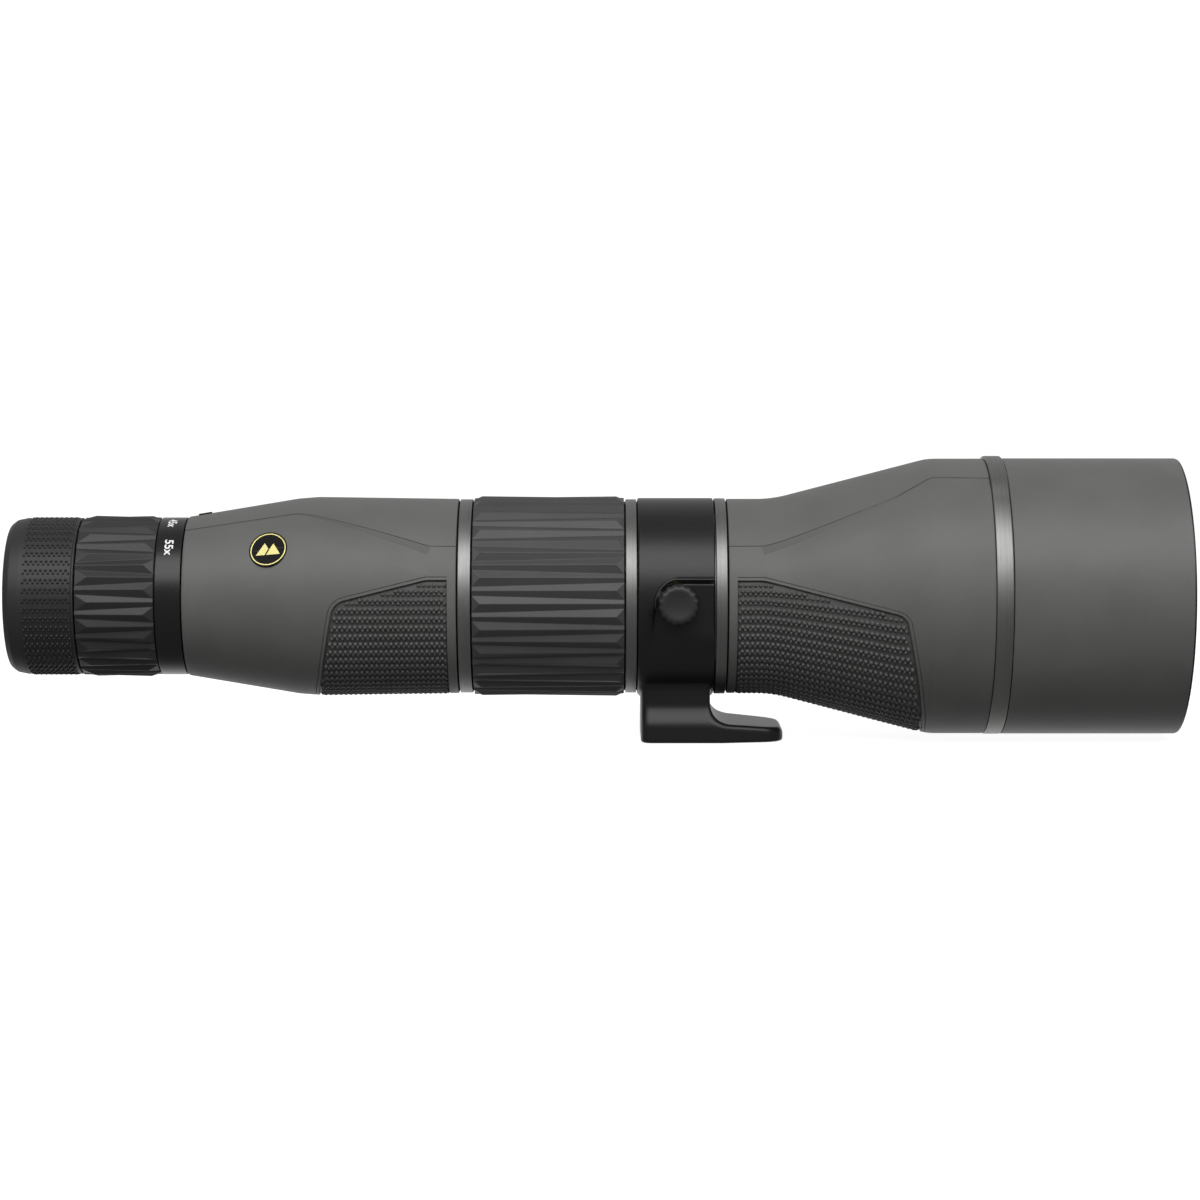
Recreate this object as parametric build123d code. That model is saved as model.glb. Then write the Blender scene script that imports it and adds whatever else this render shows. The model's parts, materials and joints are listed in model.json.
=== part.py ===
from build123d import *
from math import radians, sin, cos, tan
import os

# Straight-through zoom spotting scope with an 80 mm class objective.
# Units are millimetres. The origin is the mouth of the tripod socket under the foot,
# +X points to the objective end, +Z is up, and the optical axis runs along X.

# ---- Driving dimensions ----
axis_height = 51.5          # optical axis above the bottom of the foot
gap = 0.45                  # visible joint line between neighbouring outer parts
running = 0.05              # radial clearance of parts that slide or turn

# Stations along the optical axis, from the eyepiece to the objective
eyecup_end_x = -240.4
eyecup_front_x = -214.85
zoom_grip_x = -214.4
scale_ring_x = -185.8
zoom_ring_end_x = -176.65
rear_body_x = -176.2
rear_body_end_x = -78.25
focus_ring_x = -72.65
focus_ring_end_x = -18.55
collar_half_length = 13.7
front_body_x = 18.55
front_body_end_x = 111.5
name_ring_end_x = 117.7
hood_x = 117.9
hood_end_x = 181.1

# Radii of the outer parts
eyecup_r = 28.4
zoom_grip_r = 29.2
scale_ring_r = 28.54
rear_body_small_r = 28.8
rear_body_large_r = 36.0
rear_body_front_r = 35.3
focus_grip_r = 36.25
accent_ring_r = 35.15
accent_ring_front_r = 35.5
collar_r = 35.6
front_body_small_r = 35.3
front_body_large_r = 49.9
name_ring_r = 50.1
hood_r = 50.0

# Skins and housings
armor_thickness = 1.8
pad_depth = 1.0
pad_proud = 0.1
mid_tube_r = 31.0
mid_tube_bore_r = 28.5
prism_bore_r = 31.9
barrel_seat_r = 45.4
barrel_r = 46.9
cell_seat_r = 44.5
objective_lens_r = 42.0

# Motions
sunshade_travel = 32.0
focus_half_turn = 135.0     # degrees each way from the middle
focus_lead = 15.0           # travel of the focus cell for one whole turn
zoom_low_angle = -48.0
zoom_high_angle = 72.0
zoom_front_lead = 42.0
zoom_rear_lead = 21.0
eyecup_turn = 270.0
eyecup_lead = 16.0
lock_shoe_travel = 0.5

optical_axis = Axis((0, 0, axis_height), (1, 0, 0))


# ---- Helpers ----
def turned(outline):
    """Solid of revolution about the optical axis from (x, radius, corner rounding)."""
    points = [(x, 0, axis_height + radius) for x, radius, _ in outline]
    rounding = [corner for _, _, corner in outline]
    if any(rounding):
        border = FilletPolyline(*points, radius=rounding, close=True)
    else:
        border = Polyline(*points, close=True)
    return revolve(make_face(border), optical_axis)


def sleeve(x_from, x_to, inner_r, outer_r):
    """Plain ring between two radii."""
    return turned([(x_from, inner_r, 0), (x_to, inner_r, 0), (x_to, outer_r, 0), (x_from, outer_r, 0)])


def around(shape, angle):
    """Turn a shape about the optical axis; zero is the top, positive goes toward -Y."""
    return shape.rotate(optical_axis, angle)


def radial_pin(x, angle, from_r, to_r, pin_r):
    """Cylinder that points away from the optical axis."""
    middle = axis_height + (from_r + to_r) / 2
    return around(Pos(x, 0, middle) * Cylinder(pin_r, to_r - from_r), angle)


def axial_slot(x_from, x_to, angle, from_r, to_r, width):
    """Cutter for a straight slot along the optical axis."""
    middle = Pos((x_from + x_to) / 2, 0, axis_height + (from_r + to_r) / 2)
    return around(middle * Box(x_to - x_from, width, to_r - from_r), angle)


def helical_slot(x, angle, angle_from, angle_to, lead, radius, width, depth):
    """Cutter that winds about the optical axis through x at the given angle.

    A positive lead moves toward +X as the angle grows, a negative lead toward -X.
    """
    start_angle = angle_from if lead > 0 else angle_to
    path = Helix(
        pitch=abs(lead),
        height=abs(lead) * (angle_to - angle_from) / 360,
        radius=radius,
        center=(x + lead * start_angle / 360, 0, axis_height),
        direction=(1, 0, 0),
        lefthand=lead < 0,
    )
    section = Plane(origin=path @ 0, z_dir=path % 0, x_dir=(0, 0, 1)) * Rectangle(depth, width)
    return around(sweep(section, path=path, is_frenet=True), angle + start_angle)


def ribbed_grip(x_from, x_to, bore_r, crest_r, valley_r, ribs, chamfer):
    """Rubber ring whose outside carries straight ribs between V grooves."""
    step = 360 / ribs
    points = []
    for rib in range(ribs):
        for turn, radius in ((0, valley_r), (0.3, crest_r), (0.7, crest_r)):
            angle = radians((rib + turn) * step)
            points.append((0, radius * sin(angle), axis_height + radius * cos(angle)))
    star = extrude(make_face(Polyline(*points, close=True)), amount=x_to - x_from, dir=(1, 0, 0))
    envelope = turned([
        (x_from, bore_r, 0), (x_to, bore_r, 0), (x_to, valley_r, 0), (x_to - chamfer, crest_r, 0),
        (x_from + chamfer, crest_r, 0), (x_from, valley_r, 0),
    ])
    return Pos(x_from, 0, 0) * star & envelope


def lens_face(x, radius, bulge):
    """Section of one lens face from the bottom edge to the top edge."""
    bottom = (x, 0, axis_height - radius)
    top = (x, 0, axis_height + radius)
    if bulge == 0:
        return Line(bottom, top)
    return ThreePointArc(bottom, (x + bulge, 0, axis_height), top)


def lens(x_from, x_to, radius, rear_bulge, front_bulge):
    """Round lens; a bulge is how far the middle of a face lies beyond its edge along +X."""
    rear_face = lens_face(x_from, radius, rear_bulge)
    front_face = lens_face(x_to, radius, front_bulge)
    section = make_face([
        rear_face, Line(rear_face @ 1, front_face @ 1), front_face, Line(rear_face @ 0, front_face @ 0)])
    upper_half = Pos(x_from, 0, axis_height + 100) * Rot(90, 0, 0) * Rectangle(200, 200)
    return revolve(section & upper_half, optical_axis)


def side_panel(points):
    """Prism that spans the whole body along Y, from (x, height above the optical axis)."""
    face = make_face(Polyline(*[(x, 0, axis_height + height) for x, height in points], close=True))
    return extrude(face, amount=60, dir=(0, 1, 0), both=True)


# ---- Middle tube and accent rings ----
focus_middle_x = (focus_ring_x + focus_ring_end_x) / 2
focus_travel = focus_lead * focus_half_turn / 360
focus_pin_r = 1.55
mid_tube_x = -84.0
mid_tube_end_x = 24.0


def make_mid_tube():
    tube = sleeve(mid_tube_x, mid_tube_end_x, mid_tube_bore_r, mid_tube_r)
    reach = focus_travel + focus_pin_r + 0.4
    for angle in (0, 180):
        tube -= axial_slot(focus_middle_x - reach, focus_middle_x + reach, angle,
                           mid_tube_bore_r - 1, mid_tube_r + 1, 2 * (focus_pin_r + running))
    return tube


accent_ring_rear = sleeve(rear_body_end_x + gap, focus_ring_x - gap, mid_tube_r, accent_ring_r)
accent_ring_middle = sleeve(focus_ring_end_x + gap, -collar_half_length - 0.3, mid_tube_r, accent_ring_r)
accent_ring_front = sleeve(collar_half_length + 0.3, front_body_x - gap, mid_tube_r, accent_ring_front_r)


# ---- Rear body: housing, rubber armor and grip pad ----
shoulder_x = -136.3
shoulder_r = 35.45
crown_x = -129.0
rear_wall = 4.0
flange_r = 26.1


def rear_skin(inner_offset, outer_offset):
    """Shell that follows the outside of the rear body between two depths below it."""
    stations = [
        (rear_body_x, rear_body_small_r), (shoulder_x, shoulder_r),
        (crown_x, rear_body_large_r), (rear_body_end_x, rear_body_front_r),
    ]
    outer = [(x, radius - outer_offset, 0) for x, radius in stations]
    inner = [(x, radius - inner_offset, 0) for x, radius in reversed(stations)]
    return turned(outer + inner)


rear_pad_outline = [
    (-81.5, 8.4), (-89.0, 8.4), (-119.2, 0.9), (-122.1, -2.3),
    (-123.7, -9.6), (-126.8, -26.8), (-129.1, -40.0), (-81.5, -40.0),
]
rear_grip_pad = rear_skin(pad_depth, -pad_proud) & side_panel(rear_pad_outline)

badge_x = -145.1
badge_angle = 90 - 33.7
badge_r = 6.2
badge_rim_r = 6.85
badge_depth = 1.5
taper_angle = 9.46
index_x = -170.3
index_length = 4.8
index_width = 1.6


def on_rear_taper(x, angle, shape):
    """Place a shape, drawn on its own XY plane, on the tapered part of the rear body."""
    radius = rear_body_small_r + (x - rear_body_x) * tan(radians(taper_angle))
    return around(Pos(x, 0, axis_height + radius) * Rot(0, -taper_angle, 0) * shape, angle)


badge_disc = on_rear_taper(badge_x, badge_angle, Pos(0, 0, -badge_depth / 2) * Cylinder(badge_r, badge_depth))
badge_rim = on_rear_taper(
    badge_x, badge_angle,
    Pos(0, 0, -badge_depth / 2 + 0.1) * (Cylinder(badge_rim_r, badge_depth + 0.2) - Cylinder(badge_r, 5)))
index_mark = on_rear_taper(index_x, 0, Pos(0, 0, 0.05) * Box(index_length, index_width, 0.9))
badge_pocket = on_rear_taper(badge_x, badge_angle, Pos(0, 0, 1) * Cylinder(badge_rim_r, 2 * badge_depth + 2))
index_pocket = on_rear_taper(index_x, 0, Pos(0, 0, 0.6) * Box(index_length, index_width, 2))


def make_rear_armor():
    armor = rear_skin(armor_thickness, 0)
    armor -= rear_skin(pad_depth, -1) & side_panel(rear_pad_outline)
    armor -= badge_pocket & rear_skin(badge_depth + 0.1, -3)
    return armor - index_pocket - badge_disc - badge_rim


def make_rear_housing():
    depth = armor_thickness
    housing = turned([
        (rear_body_x, rear_body_small_r - depth, 0),
        (shoulder_x, shoulder_r - depth, 0),
        (crown_x, rear_body_large_r - depth, 0),
        (rear_body_end_x, rear_body_front_r - depth, 0),
        (rear_body_end_x, mid_tube_r, 0),
        (mid_tube_x, mid_tube_r, 0),
        (mid_tube_x, prism_bore_r, 0),
        (shoulder_x, prism_bore_r, 0),
        (rear_body_x + rear_wall + 5, flange_r, 0),
        (rear_body_x + rear_wall, flange_r, 0),
        (rear_body_x + rear_wall, eyepiece_r, 0),
        (rear_body_x, eyepiece_r, 0),
    ])
    for angle in screw_angles:
        housing -= around(Pos(flange_x, 0, axis_height + flange_bolt_r) * Rot(0, 90, 0) * Cylinder(
            flange_screw_r, 2 * flange_screw_grip), angle)
    return housing


# ---- Prisms and their carrier ----
prism_half_width = 15.0
first_prism_face = 30.0
second_prism_face = 34.0
prism_x = -98.0
second_prism_drop = 4.2
prism_air_gap = 0.3
cheek_thickness = 2.5
cheek_height = 52.0
carrier_x = -128.0
carrier_thickness = 4.0
carrier_window_r = 13.0
prism_bolt_r = 28.0
prism_screw_r = 1.5


def make_prisms():
    """Pair of prisms that turns the image upright and keeps the optical axis straight."""
    diagonal = sin(radians(45))
    low = -first_prism_face / 2
    high = first_prism_face / 2
    tip_x = prism_x - diagonal * first_prism_face
    tip_z = high - diagonal * first_prism_face
    first = [(prism_x, low), (prism_x, high), (tip_x, tip_z)]
    corner_x = tip_x - second_prism_drop - prism_air_gap
    corner_z = tip_z - second_prism_drop + prism_air_gap
    second = [
        (corner_x, corner_z), (corner_x, corner_z + second_prism_face),
        (corner_x + diagonal * second_prism_face, corner_z + diagonal * second_prism_face),
    ]
    prisms = []
    for outline in (first, second):
        face = make_face(Polyline(*[(x, 0, axis_height + z) for x, z in outline], close=True))
        prisms.append(extrude(face, amount=prism_half_width, dir=(0, 1, 0), both=True))
    return prisms


def make_prism_carrier():
    """Round plate with two cheeks that hold the prisms between them."""
    plate_end_x = carrier_x + carrier_thickness
    plate = sleeve(carrier_x, plate_end_x, carrier_window_r, prism_bore_r)
    drum = Pos(0, 0, axis_height) * Rot(0, 90, 0) * Cylinder(prism_bore_r, 400)
    for side in (-1, 1):
        cheek = Pos((plate_end_x + prism_x) / 2, side * (prism_half_width + cheek_thickness / 2),
                    axis_height) * Box(prism_x - plate_end_x, cheek_thickness, cheek_height)
        plate += cheek & drum
    for angle in prism_screw_angles:
        plate -= around(Pos(carrier_x, 0, axis_height + prism_bolt_r) * Rot(0, 90, 0) * Cylinder(
            prism_screw_r, 4 * carrier_thickness), angle)
    return plate


def screw_ring(x_from, length, head_length, bolt_circle_r, shank_r, head_r, angles):
    """Group of equal cap screws that point along the optical axis with heads toward +X."""
    screws = []
    for angle in angles:
        shank = Pos(x_from + length / 2, 0, bolt_circle_r) * Rot(0, 90, 0) * Cylinder(shank_r, length)
        head = Pos(x_from + length + head_length / 2, 0, bolt_circle_r) * Rot(0, 90, 0) * Cylinder(
            head_r, head_length)
        drive = Pos(x_from + length + head_length, 0, bolt_circle_r) * Rot(0, 90, 0) * extrude(
            RegularPolygon(head_r * 0.5, 6), amount=0.8, both=True)
        screws.append(around(Pos(0, 0, axis_height) * (shank + head - drive), angle))
    return Compound(children=screws)


screw_angles = (45, 135, 225, 315)
prism_screw_angles = (60, 120, 240, 300)
prism_screws = screw_ring(carrier_x, carrier_thickness, 1.5, prism_bolt_r, prism_screw_r, 2.4,
                          prism_screw_angles)

# ---- Eyepiece: fixed body, guide tube, cam tube and lens cells ----
eyepiece_r = 22.5
eyepiece_bore_r = 20.2
eyepiece_end_x = -236.5
eyepiece_front_x = -146.0
cam_tube_r = 20.15
cam_tube_bore_r = 17.6
guide_tube_r = 17.55
guide_tube_bore_r = 15.5
guide_end_x = -210.0
guide_flange = 4.0
zoom_pin_r = 1.25
zoom_lens_r = 13.5
drive_pin_r = 1.5
drive_pin_end_r = 26.4
drive_pin_x = -184.0
zoom_front_pin_x = -168.0
zoom_rear_pin_x = -196.0
eyecup_pin_x = -232.5
eyecup_pin_r = 1.5
finger_angles = (90, 210, 330)
finger_width = 5.0
finger_inner_r = 21.95
finger_slot_end_x = -218.0
slot_margin = 8.0           # degrees of slot beyond the pin's last position
retaining_ring_x = zoom_grip_x + 0.1
retaining_ring_width = 1.2
retaining_ring_r = eyepiece_r - 0.8
flange_thickness = 3.0
flange_bolt_r = 24.3
flange_screw_r = 0.9
flange_screw_grip = 2.5     # how far the flange screws reach into the rear wall
flange_x = rear_body_x + rear_wall


def make_eyepiece_body():
    body = turned([
        (eyepiece_end_x, eyepiece_bore_r, 0), (eyepiece_front_x, eyepiece_bore_r, 0),
        (eyepiece_front_x, eyepiece_r, 0), (flange_x + flange_thickness, eyepiece_r, 0),
        (flange_x + flange_thickness, flange_r, 0), (flange_x, flange_r, 0),
        (flange_x, eyepiece_r, 0), (eyepiece_end_x, eyepiece_r, 0),
    ])
    half_slot = drive_pin_r + running
    window = Pos(drive_pin_x, 0, axis_height + (eyepiece_bore_r + eyepiece_r) / 2) * Rot(90, 0, 0)
    window *= Rectangle(2 * half_slot, 4)
    window = revolve(window, optical_axis, revolution_arc=zoom_high_angle - zoom_low_angle + 2 * slot_margin)
    body -= around(window, zoom_low_angle - slot_margin)
    for angle in (0, 180):
        body -= radial_pin(eyecup_pin_x, angle, eyepiece_bore_r - 1, eyepiece_r + 1, eyecup_pin_r)
    for angle in finger_angles:
        body -= axial_slot(eyepiece_end_x, finger_slot_end_x, angle, finger_inner_r - 0.35, eyepiece_r + 1,
                           finger_width + 0.2)
    body -= sleeve(retaining_ring_x, retaining_ring_x + retaining_ring_width, retaining_ring_r, eyepiece_r)
    for angle in screw_angles:
        body -= around(Pos(flange_x, 0, axis_height + flange_bolt_r) * Rot(0, 90, 0) * Cylinder(
            flange_screw_r, 20), angle)
    return body


flange_screws = screw_ring(flange_x - flange_screw_grip, flange_screw_grip + flange_thickness, 1.0,
                           flange_bolt_r, flange_screw_r, 1.5, screw_angles)
zoom_retaining_ring = sleeve(retaining_ring_x, retaining_ring_x + retaining_ring_width,
                             retaining_ring_r, 25.5)
eyecup_pins = Compound(children=[
    radial_pin(eyecup_pin_x, angle, eyepiece_bore_r + 0.05, 24.1, eyecup_pin_r) for angle in (0, 180)])


def make_guide_tube():
    tube = turned([
        (guide_end_x, guide_tube_bore_r, 0), (eyepiece_front_x, guide_tube_bore_r, 0),
        (eyepiece_front_x, eyepiece_bore_r, 0), (eyepiece_front_x - guide_flange, eyepiece_bore_r, 0),
        (eyepiece_front_x - guide_flange, guide_tube_r, 0), (guide_end_x, guide_tube_r, 0),
    ])
    for pin_x, lead in ((zoom_front_pin_x, -zoom_front_lead), (zoom_rear_pin_x, zoom_rear_lead)):
        ends = sorted(pin_x + lead * angle / 360 for angle in (zoom_low_angle, zoom_high_angle))
        for angle in (90, 270):
            tube -= axial_slot(ends[0] - zoom_pin_r - 0.4, ends[1] + zoom_pin_r + 0.4, angle,
                               guide_tube_bore_r - 1, guide_tube_r + 1, 2 * (zoom_pin_r + running))
    return tube


def make_cam_tube():
    tube = sleeve(guide_end_x + 0.1, eyepiece_front_x - guide_flange - 0.1, cam_tube_bore_r, cam_tube_r)
    for pin_x, lead in ((zoom_front_pin_x, zoom_front_lead), (zoom_rear_pin_x, -zoom_rear_lead)):
        for angle in (90, 270):
            tube -= helical_slot(pin_x, angle, -zoom_high_angle - slot_margin, -zoom_low_angle + slot_margin,
                                 lead, (cam_tube_bore_r + cam_tube_r) / 2, 2 * (zoom_pin_r + running), 6)
    return tube - zoom_drive_pin


zoom_drive_pin = radial_pin(drive_pin_x, 0, cam_tube_bore_r + 0.1, drive_pin_end_r, drive_pin_r)


def make_zoom_cell(pin_x, length):
    rear_x = pin_x - length / 2
    front_x = pin_x + length / 2
    cell = turned([
        (rear_x, zoom_lens_r - 1, 0), (rear_x + 1.5, zoom_lens_r - 1, 0), (rear_x + 1.5, zoom_lens_r, 0),
        (front_x, zoom_lens_r, 0), (front_x, guide_tube_bore_r - running, 0),
        (rear_x, guide_tube_bore_r - running, 0),
    ])
    for angle in (90, 270):
        cell -= radial_pin(pin_x, angle, zoom_lens_r - 0.5, guide_tube_r, zoom_pin_r)
    return cell


def make_zoom_pins(pin_x):
    return Compound(children=[
        radial_pin(pin_x, angle, zoom_lens_r + 0.1, cam_tube_r - 0.1, zoom_pin_r) for angle in (90, 270)])


zoom_front_lens = lens(zoom_front_pin_x - 3.5, zoom_front_pin_x + 0.5, zoom_lens_r, 2.0, -1.5)
zoom_rear_lens = lens(zoom_rear_pin_x - 3.5, zoom_rear_pin_x + 1.5, zoom_lens_r, 0.0, 2.0)

eye_lens_r = 18.0
eye_lens_x = -232.0
eye_lens_seat_x = -222.0
eye_cell_x = -235.0
eye_lens_cell = turned([
    (eye_cell_x, eye_lens_r, 0), (eye_lens_seat_x, eye_lens_r, 0), (eye_lens_seat_x, eye_lens_r - 2, 0),
    (guide_end_x, guide_tube_bore_r - 1, 0), (guide_end_x, eyepiece_bore_r, 0),
    (eye_cell_x, eyepiece_bore_r, 0),
])
eye_lens = lens(eye_lens_x, eye_lens_seat_x, eye_lens_r, -2.5, 0.0)

# ---- Zoom ring ----
zoom_core_r = 26.5
zoom_valley_r = 28.0
zoom_ribs = 40
zoom_core = sleeve(retaining_ring_x + retaining_ring_width + 0.1, zoom_ring_end_x, eyepiece_r + running,
                   zoom_core_r)
zoom_core -= radial_pin(drive_pin_x, 0, eyepiece_r - 1, drive_pin_end_r, drive_pin_r)
zoom_grip = ribbed_grip(zoom_grip_x, scale_ring_x - gap, zoom_core_r, zoom_grip_r, zoom_valley_r,
                        zoom_ribs, 4.2)
zoom_scale_ring = turned([
    (scale_ring_x, zoom_core_r, 0), (zoom_ring_end_x, zoom_core_r, 0),
    (zoom_ring_end_x, scale_ring_r, 0.3), (scale_ring_x, scale_ring_r, 0.3),
])

# ---- Twist-up eyecup ----
eyecup_sleeve_r = 24.2
eyecup_mouth_r = 23.2
finger_end_x = -221.0
click_ring_x = -239.0


def make_eyecup_sleeve():
    part = sleeve(click_ring_x + 2, eyecup_front_x, eyepiece_r + running, eyecup_sleeve_r)
    for angle in (0, 180):
        part -= helical_slot(eyecup_pin_x, angle, -slot_margin, eyecup_turn + slot_margin, eyecup_lead,
                             (eyepiece_r + eyecup_sleeve_r) / 2, 2 * (eyecup_pin_r + running), 5)
    return part


def make_click_ring():
    part = sleeve(click_ring_x, click_ring_x + 2 - running, 20.6, eyecup_sleeve_r - running)
    track = sleeve(click_ring_x + 1, finger_end_x, finger_inner_r, eyepiece_r - running)
    for angle in finger_angles:
        part += track & axial_slot(click_ring_x, finger_end_x, angle, 20, 24, finger_width)
    return part


eyecup_rubber = turned([
    (eyecup_end_x, eyecup_mouth_r, 0.6), (eyecup_end_x, eyecup_r, 3.5), (eyecup_front_x, eyecup_r, 0.6),
    (eyecup_front_x, eyecup_sleeve_r, 0), (click_ring_x - 0.05, eyecup_sleeve_r, 0),
    (click_ring_x - 0.05, eyecup_mouth_r, 0),
])


# ---- Focus ring and focus cell ----
focus_core_r = 33.5
focus_valley_r = 35.2
focus_ribs = 48
focus_cell_length = 16.0
focus_lens_r = 26.0
focus_pin_foot_r = focus_lens_r + 0.4
focus_core = sleeve(focus_ring_x, focus_ring_end_x, mid_tube_r + running, focus_core_r)
for slot_angle in (0, 180):
    focus_core -= helical_slot(
        focus_middle_x, slot_angle, -focus_half_turn - slot_margin, focus_half_turn + slot_margin,
        focus_lead, (mid_tube_r + focus_core_r) / 2, 2 * (focus_pin_r + running), 5)
focus_grip = ribbed_grip(focus_ring_x, focus_ring_end_x, focus_core_r, focus_grip_r, focus_valley_r,
                         focus_ribs, 2.9)

focus_cell_x = focus_middle_x - focus_cell_length / 2
focus_cell_end_x = focus_middle_x + focus_cell_length / 2
focus_cell = turned([
    (focus_cell_x, focus_lens_r - 2, 0), (focus_cell_x + 3, focus_lens_r - 2, 0),
    (focus_cell_x + 3, focus_lens_r, 0), (focus_cell_end_x, focus_lens_r, 0),
    (focus_cell_end_x, mid_tube_bore_r - running, 0), (focus_cell_x, mid_tube_bore_r - running, 0),
])
for pin_angle in (0, 180):
    focus_cell -= radial_pin(focus_middle_x, pin_angle, focus_pin_foot_r, mid_tube_r, focus_pin_r)
focus_pins = Compound(children=[
    radial_pin(focus_middle_x, angle, focus_pin_foot_r, focus_core_r - 0.1, focus_pin_r)
    for angle in (0, 180)])
focus_lens = lens(focus_cell_x + 3, focus_cell_x + 9, focus_lens_r, 2.0, -1.5)

# ---- Front body: housing, rubber armor, grip pad and baffles ----
cone_x = 29.5
cone_end_x = 93.0
front_body_bends = [
    (cone_x + 5.6, front_body_small_r, 45.0), (cone_end_x - 1.6, front_body_large_r, 24.0)]


def front_skin(inner_offset, outer_offset):
    """Shell that follows the outside of the front body between two depths below it."""
    outer = [(front_body_x, front_body_small_r - outer_offset, 0)]
    outer += [(x, radius - outer_offset, rounding) for x, radius, rounding in front_body_bends]
    outer += [(front_body_end_x, front_body_large_r - outer_offset, 0)]
    inner = [(front_body_end_x, front_body_large_r - inner_offset, 0)]
    inner += [(x, radius - inner_offset, rounding) for x, radius, rounding in reversed(front_body_bends)]
    inner += [(front_body_x, front_body_small_r - inner_offset, 0)]
    return turned(outer + inner)


front_pad_outline = [
    (21.6, 8.2), (30.9, 8.2), (77.4, -2.9), (81.2, -5.7),
    (82.4, -12.3), (85.3, -26.9), (89.2, -55.0), (21.6, -55.0),
]
front_grip_pad = front_skin(pad_depth, -pad_proud) & side_panel(front_pad_outline)
front_armor = front_skin(armor_thickness, 0) - (front_skin(pad_depth, -1) & side_panel(front_pad_outline))

front_housing = turned([
    (front_body_x, front_body_small_r - armor_thickness, 0),
    (front_body_bends[0][0], front_body_small_r - armor_thickness, front_body_bends[0][2]),
    (front_body_bends[1][0], front_body_large_r - armor_thickness, front_body_bends[1][2]),
    (front_body_end_x, front_body_large_r - armor_thickness, 0),
    (front_body_end_x, barrel_seat_r, 0),
    (front_body_bends[1][0], barrel_seat_r, 0),
    (front_body_bends[0][0], mid_tube_r, 0),
    (front_body_x, mid_tube_r, 0),
])


baffle_stations = (45.0, 60.0, 75.0)
baffle_thickness = 0.8
baffle_height = 4.0


def make_baffles():
    slope = (barrel_seat_r - mid_tube_r) / (front_body_bends[1][0] - front_body_bends[0][0])
    rings = []
    for x in baffle_stations:
        outer_r = mid_tube_r + (x - front_body_bends[0][0]) * slope - 0.02
        rings.append(sleeve(x, x + baffle_thickness, outer_r - baffle_height, outer_r))
    return Compound(children=rings)


# ---- Objective ----
barrel_x = 100.0
barrel_end_x = 160.0
barrel_bore_r = 43.0
cell_x = 126.0
cell_end_x = 158.5
liner_r = 47.4
glide_ring_x = hood_x + 4 + sunshade_travel + 0.1
glide_ring_end_x = glide_ring_x + 4
glide_groove_r = barrel_r - 0.9
objective_barrel = turned([
    (barrel_x, barrel_bore_r, 0), (cell_x, barrel_bore_r, 0), (cell_x, cell_seat_r, 0),
    (barrel_end_x, cell_seat_r, 0), (barrel_end_x, barrel_r, 0), (glide_ring_end_x, barrel_r, 0),
    (glide_ring_end_x, glide_groove_r, 0), (glide_ring_x, glide_groove_r, 0), (glide_ring_x, barrel_r, 0),
    (front_body_end_x + 0.1, barrel_r, 0), (front_body_end_x + 0.1, barrel_seat_r, 0),
    (barrel_x, barrel_seat_r, 0),
])
sunshade_glide_ring = sleeve(glide_ring_x, glide_ring_end_x, glide_groove_r, liner_r - running)
name_ring = turned([
    (front_body_end_x + 0.1, barrel_r, 0), (name_ring_end_x, barrel_r, 0),
    (name_ring_end_x, name_ring_r - 0.6, 0), (name_ring_end_x - 0.9, name_ring_r, 0),
    (front_body_end_x + 1.0, name_ring_r, 0), (front_body_end_x + 0.1, name_ring_r - 0.6, 0),
])
objective_cell = turned([
    (cell_x, 40.5, 0), (cell_x + 8, 40.5, 0), (cell_x + 8, objective_lens_r, 0),
    (cell_end_x, objective_lens_r, 0), (cell_end_x, cell_seat_r, 0), (cell_x, cell_seat_r, 0),
])
rear_objective_lens = lens(cell_x + 8, cell_x + 14.5, objective_lens_r, 1.0, -3.5)
front_lens = lens(cell_x + 15.0, cell_x + 23.0, objective_lens_r, -3.5, 3.5)


def make_objective_retaining_ring():
    ring = turned([
        (cell_x + 23.4, 40.2, 0), (cell_x + 27, 40.2, 0), (cell_x + 27, objective_lens_r, 0),
        (cell_x + 23, objective_lens_r, 0),
    ])
    for angle in (90, 270):
        ring -= axial_slot(cell_x + 25.5, cell_x + 28, angle, 39, 43, 2.0)
    return ring


# ---- Sliding sunshade ----
hood_wall_r = 47.8
hood_lip = 4.0
sunshade_tube = turned([
    (hood_x, barrel_r + running, 0), (hood_x + hood_lip, barrel_r + running, 0),
    (hood_x + hood_lip, hood_wall_r, 0), (hood_end_x, hood_wall_r, 0),
    (hood_end_x, hood_r, 1.2), (hood_x, hood_r, 0.4),
])
sunshade_liner = sleeve(hood_x + hood_lip, hood_end_x - 1.0, liner_r, hood_wall_r)

# ---- Tripod collar with foot ----
collar_bore_r = 31.6
neck_rear_x = -13.2
neck_front_x = 12.8
neck_half_width = 18.4
base_half_width = 20.9
flare_low_z = 6.0           # the neck widens toward the base between these heights
flare_high_z = 13.5
toe_x = 39.2
toe_half_width = 16.5
toe_tip_z = 5.2             # top of the toe at its tip
toe_root_z = 7.4            # top of the toe where it meets the neck
knob_x = 0.5
knob_pocket_r = 8.4
pocket_floor_y = -33.4
pocket_reach_x = 20.0
pocket_low = -20.4          # lower end of the pocket, from the optical axis
bushing_r = 6.5
lock_screw_r = 3.0
knob_r = 7.15
knob_scallops = 16
shoe_back_y = -32.2
bushing_y = -34.4
socket_r = 2.55
socket_depth = 9.0
insert_r = 4.5
anti_twist_x = 26.0
anti_twist_r = 2.3
anti_twist_depth = 4.5


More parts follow.
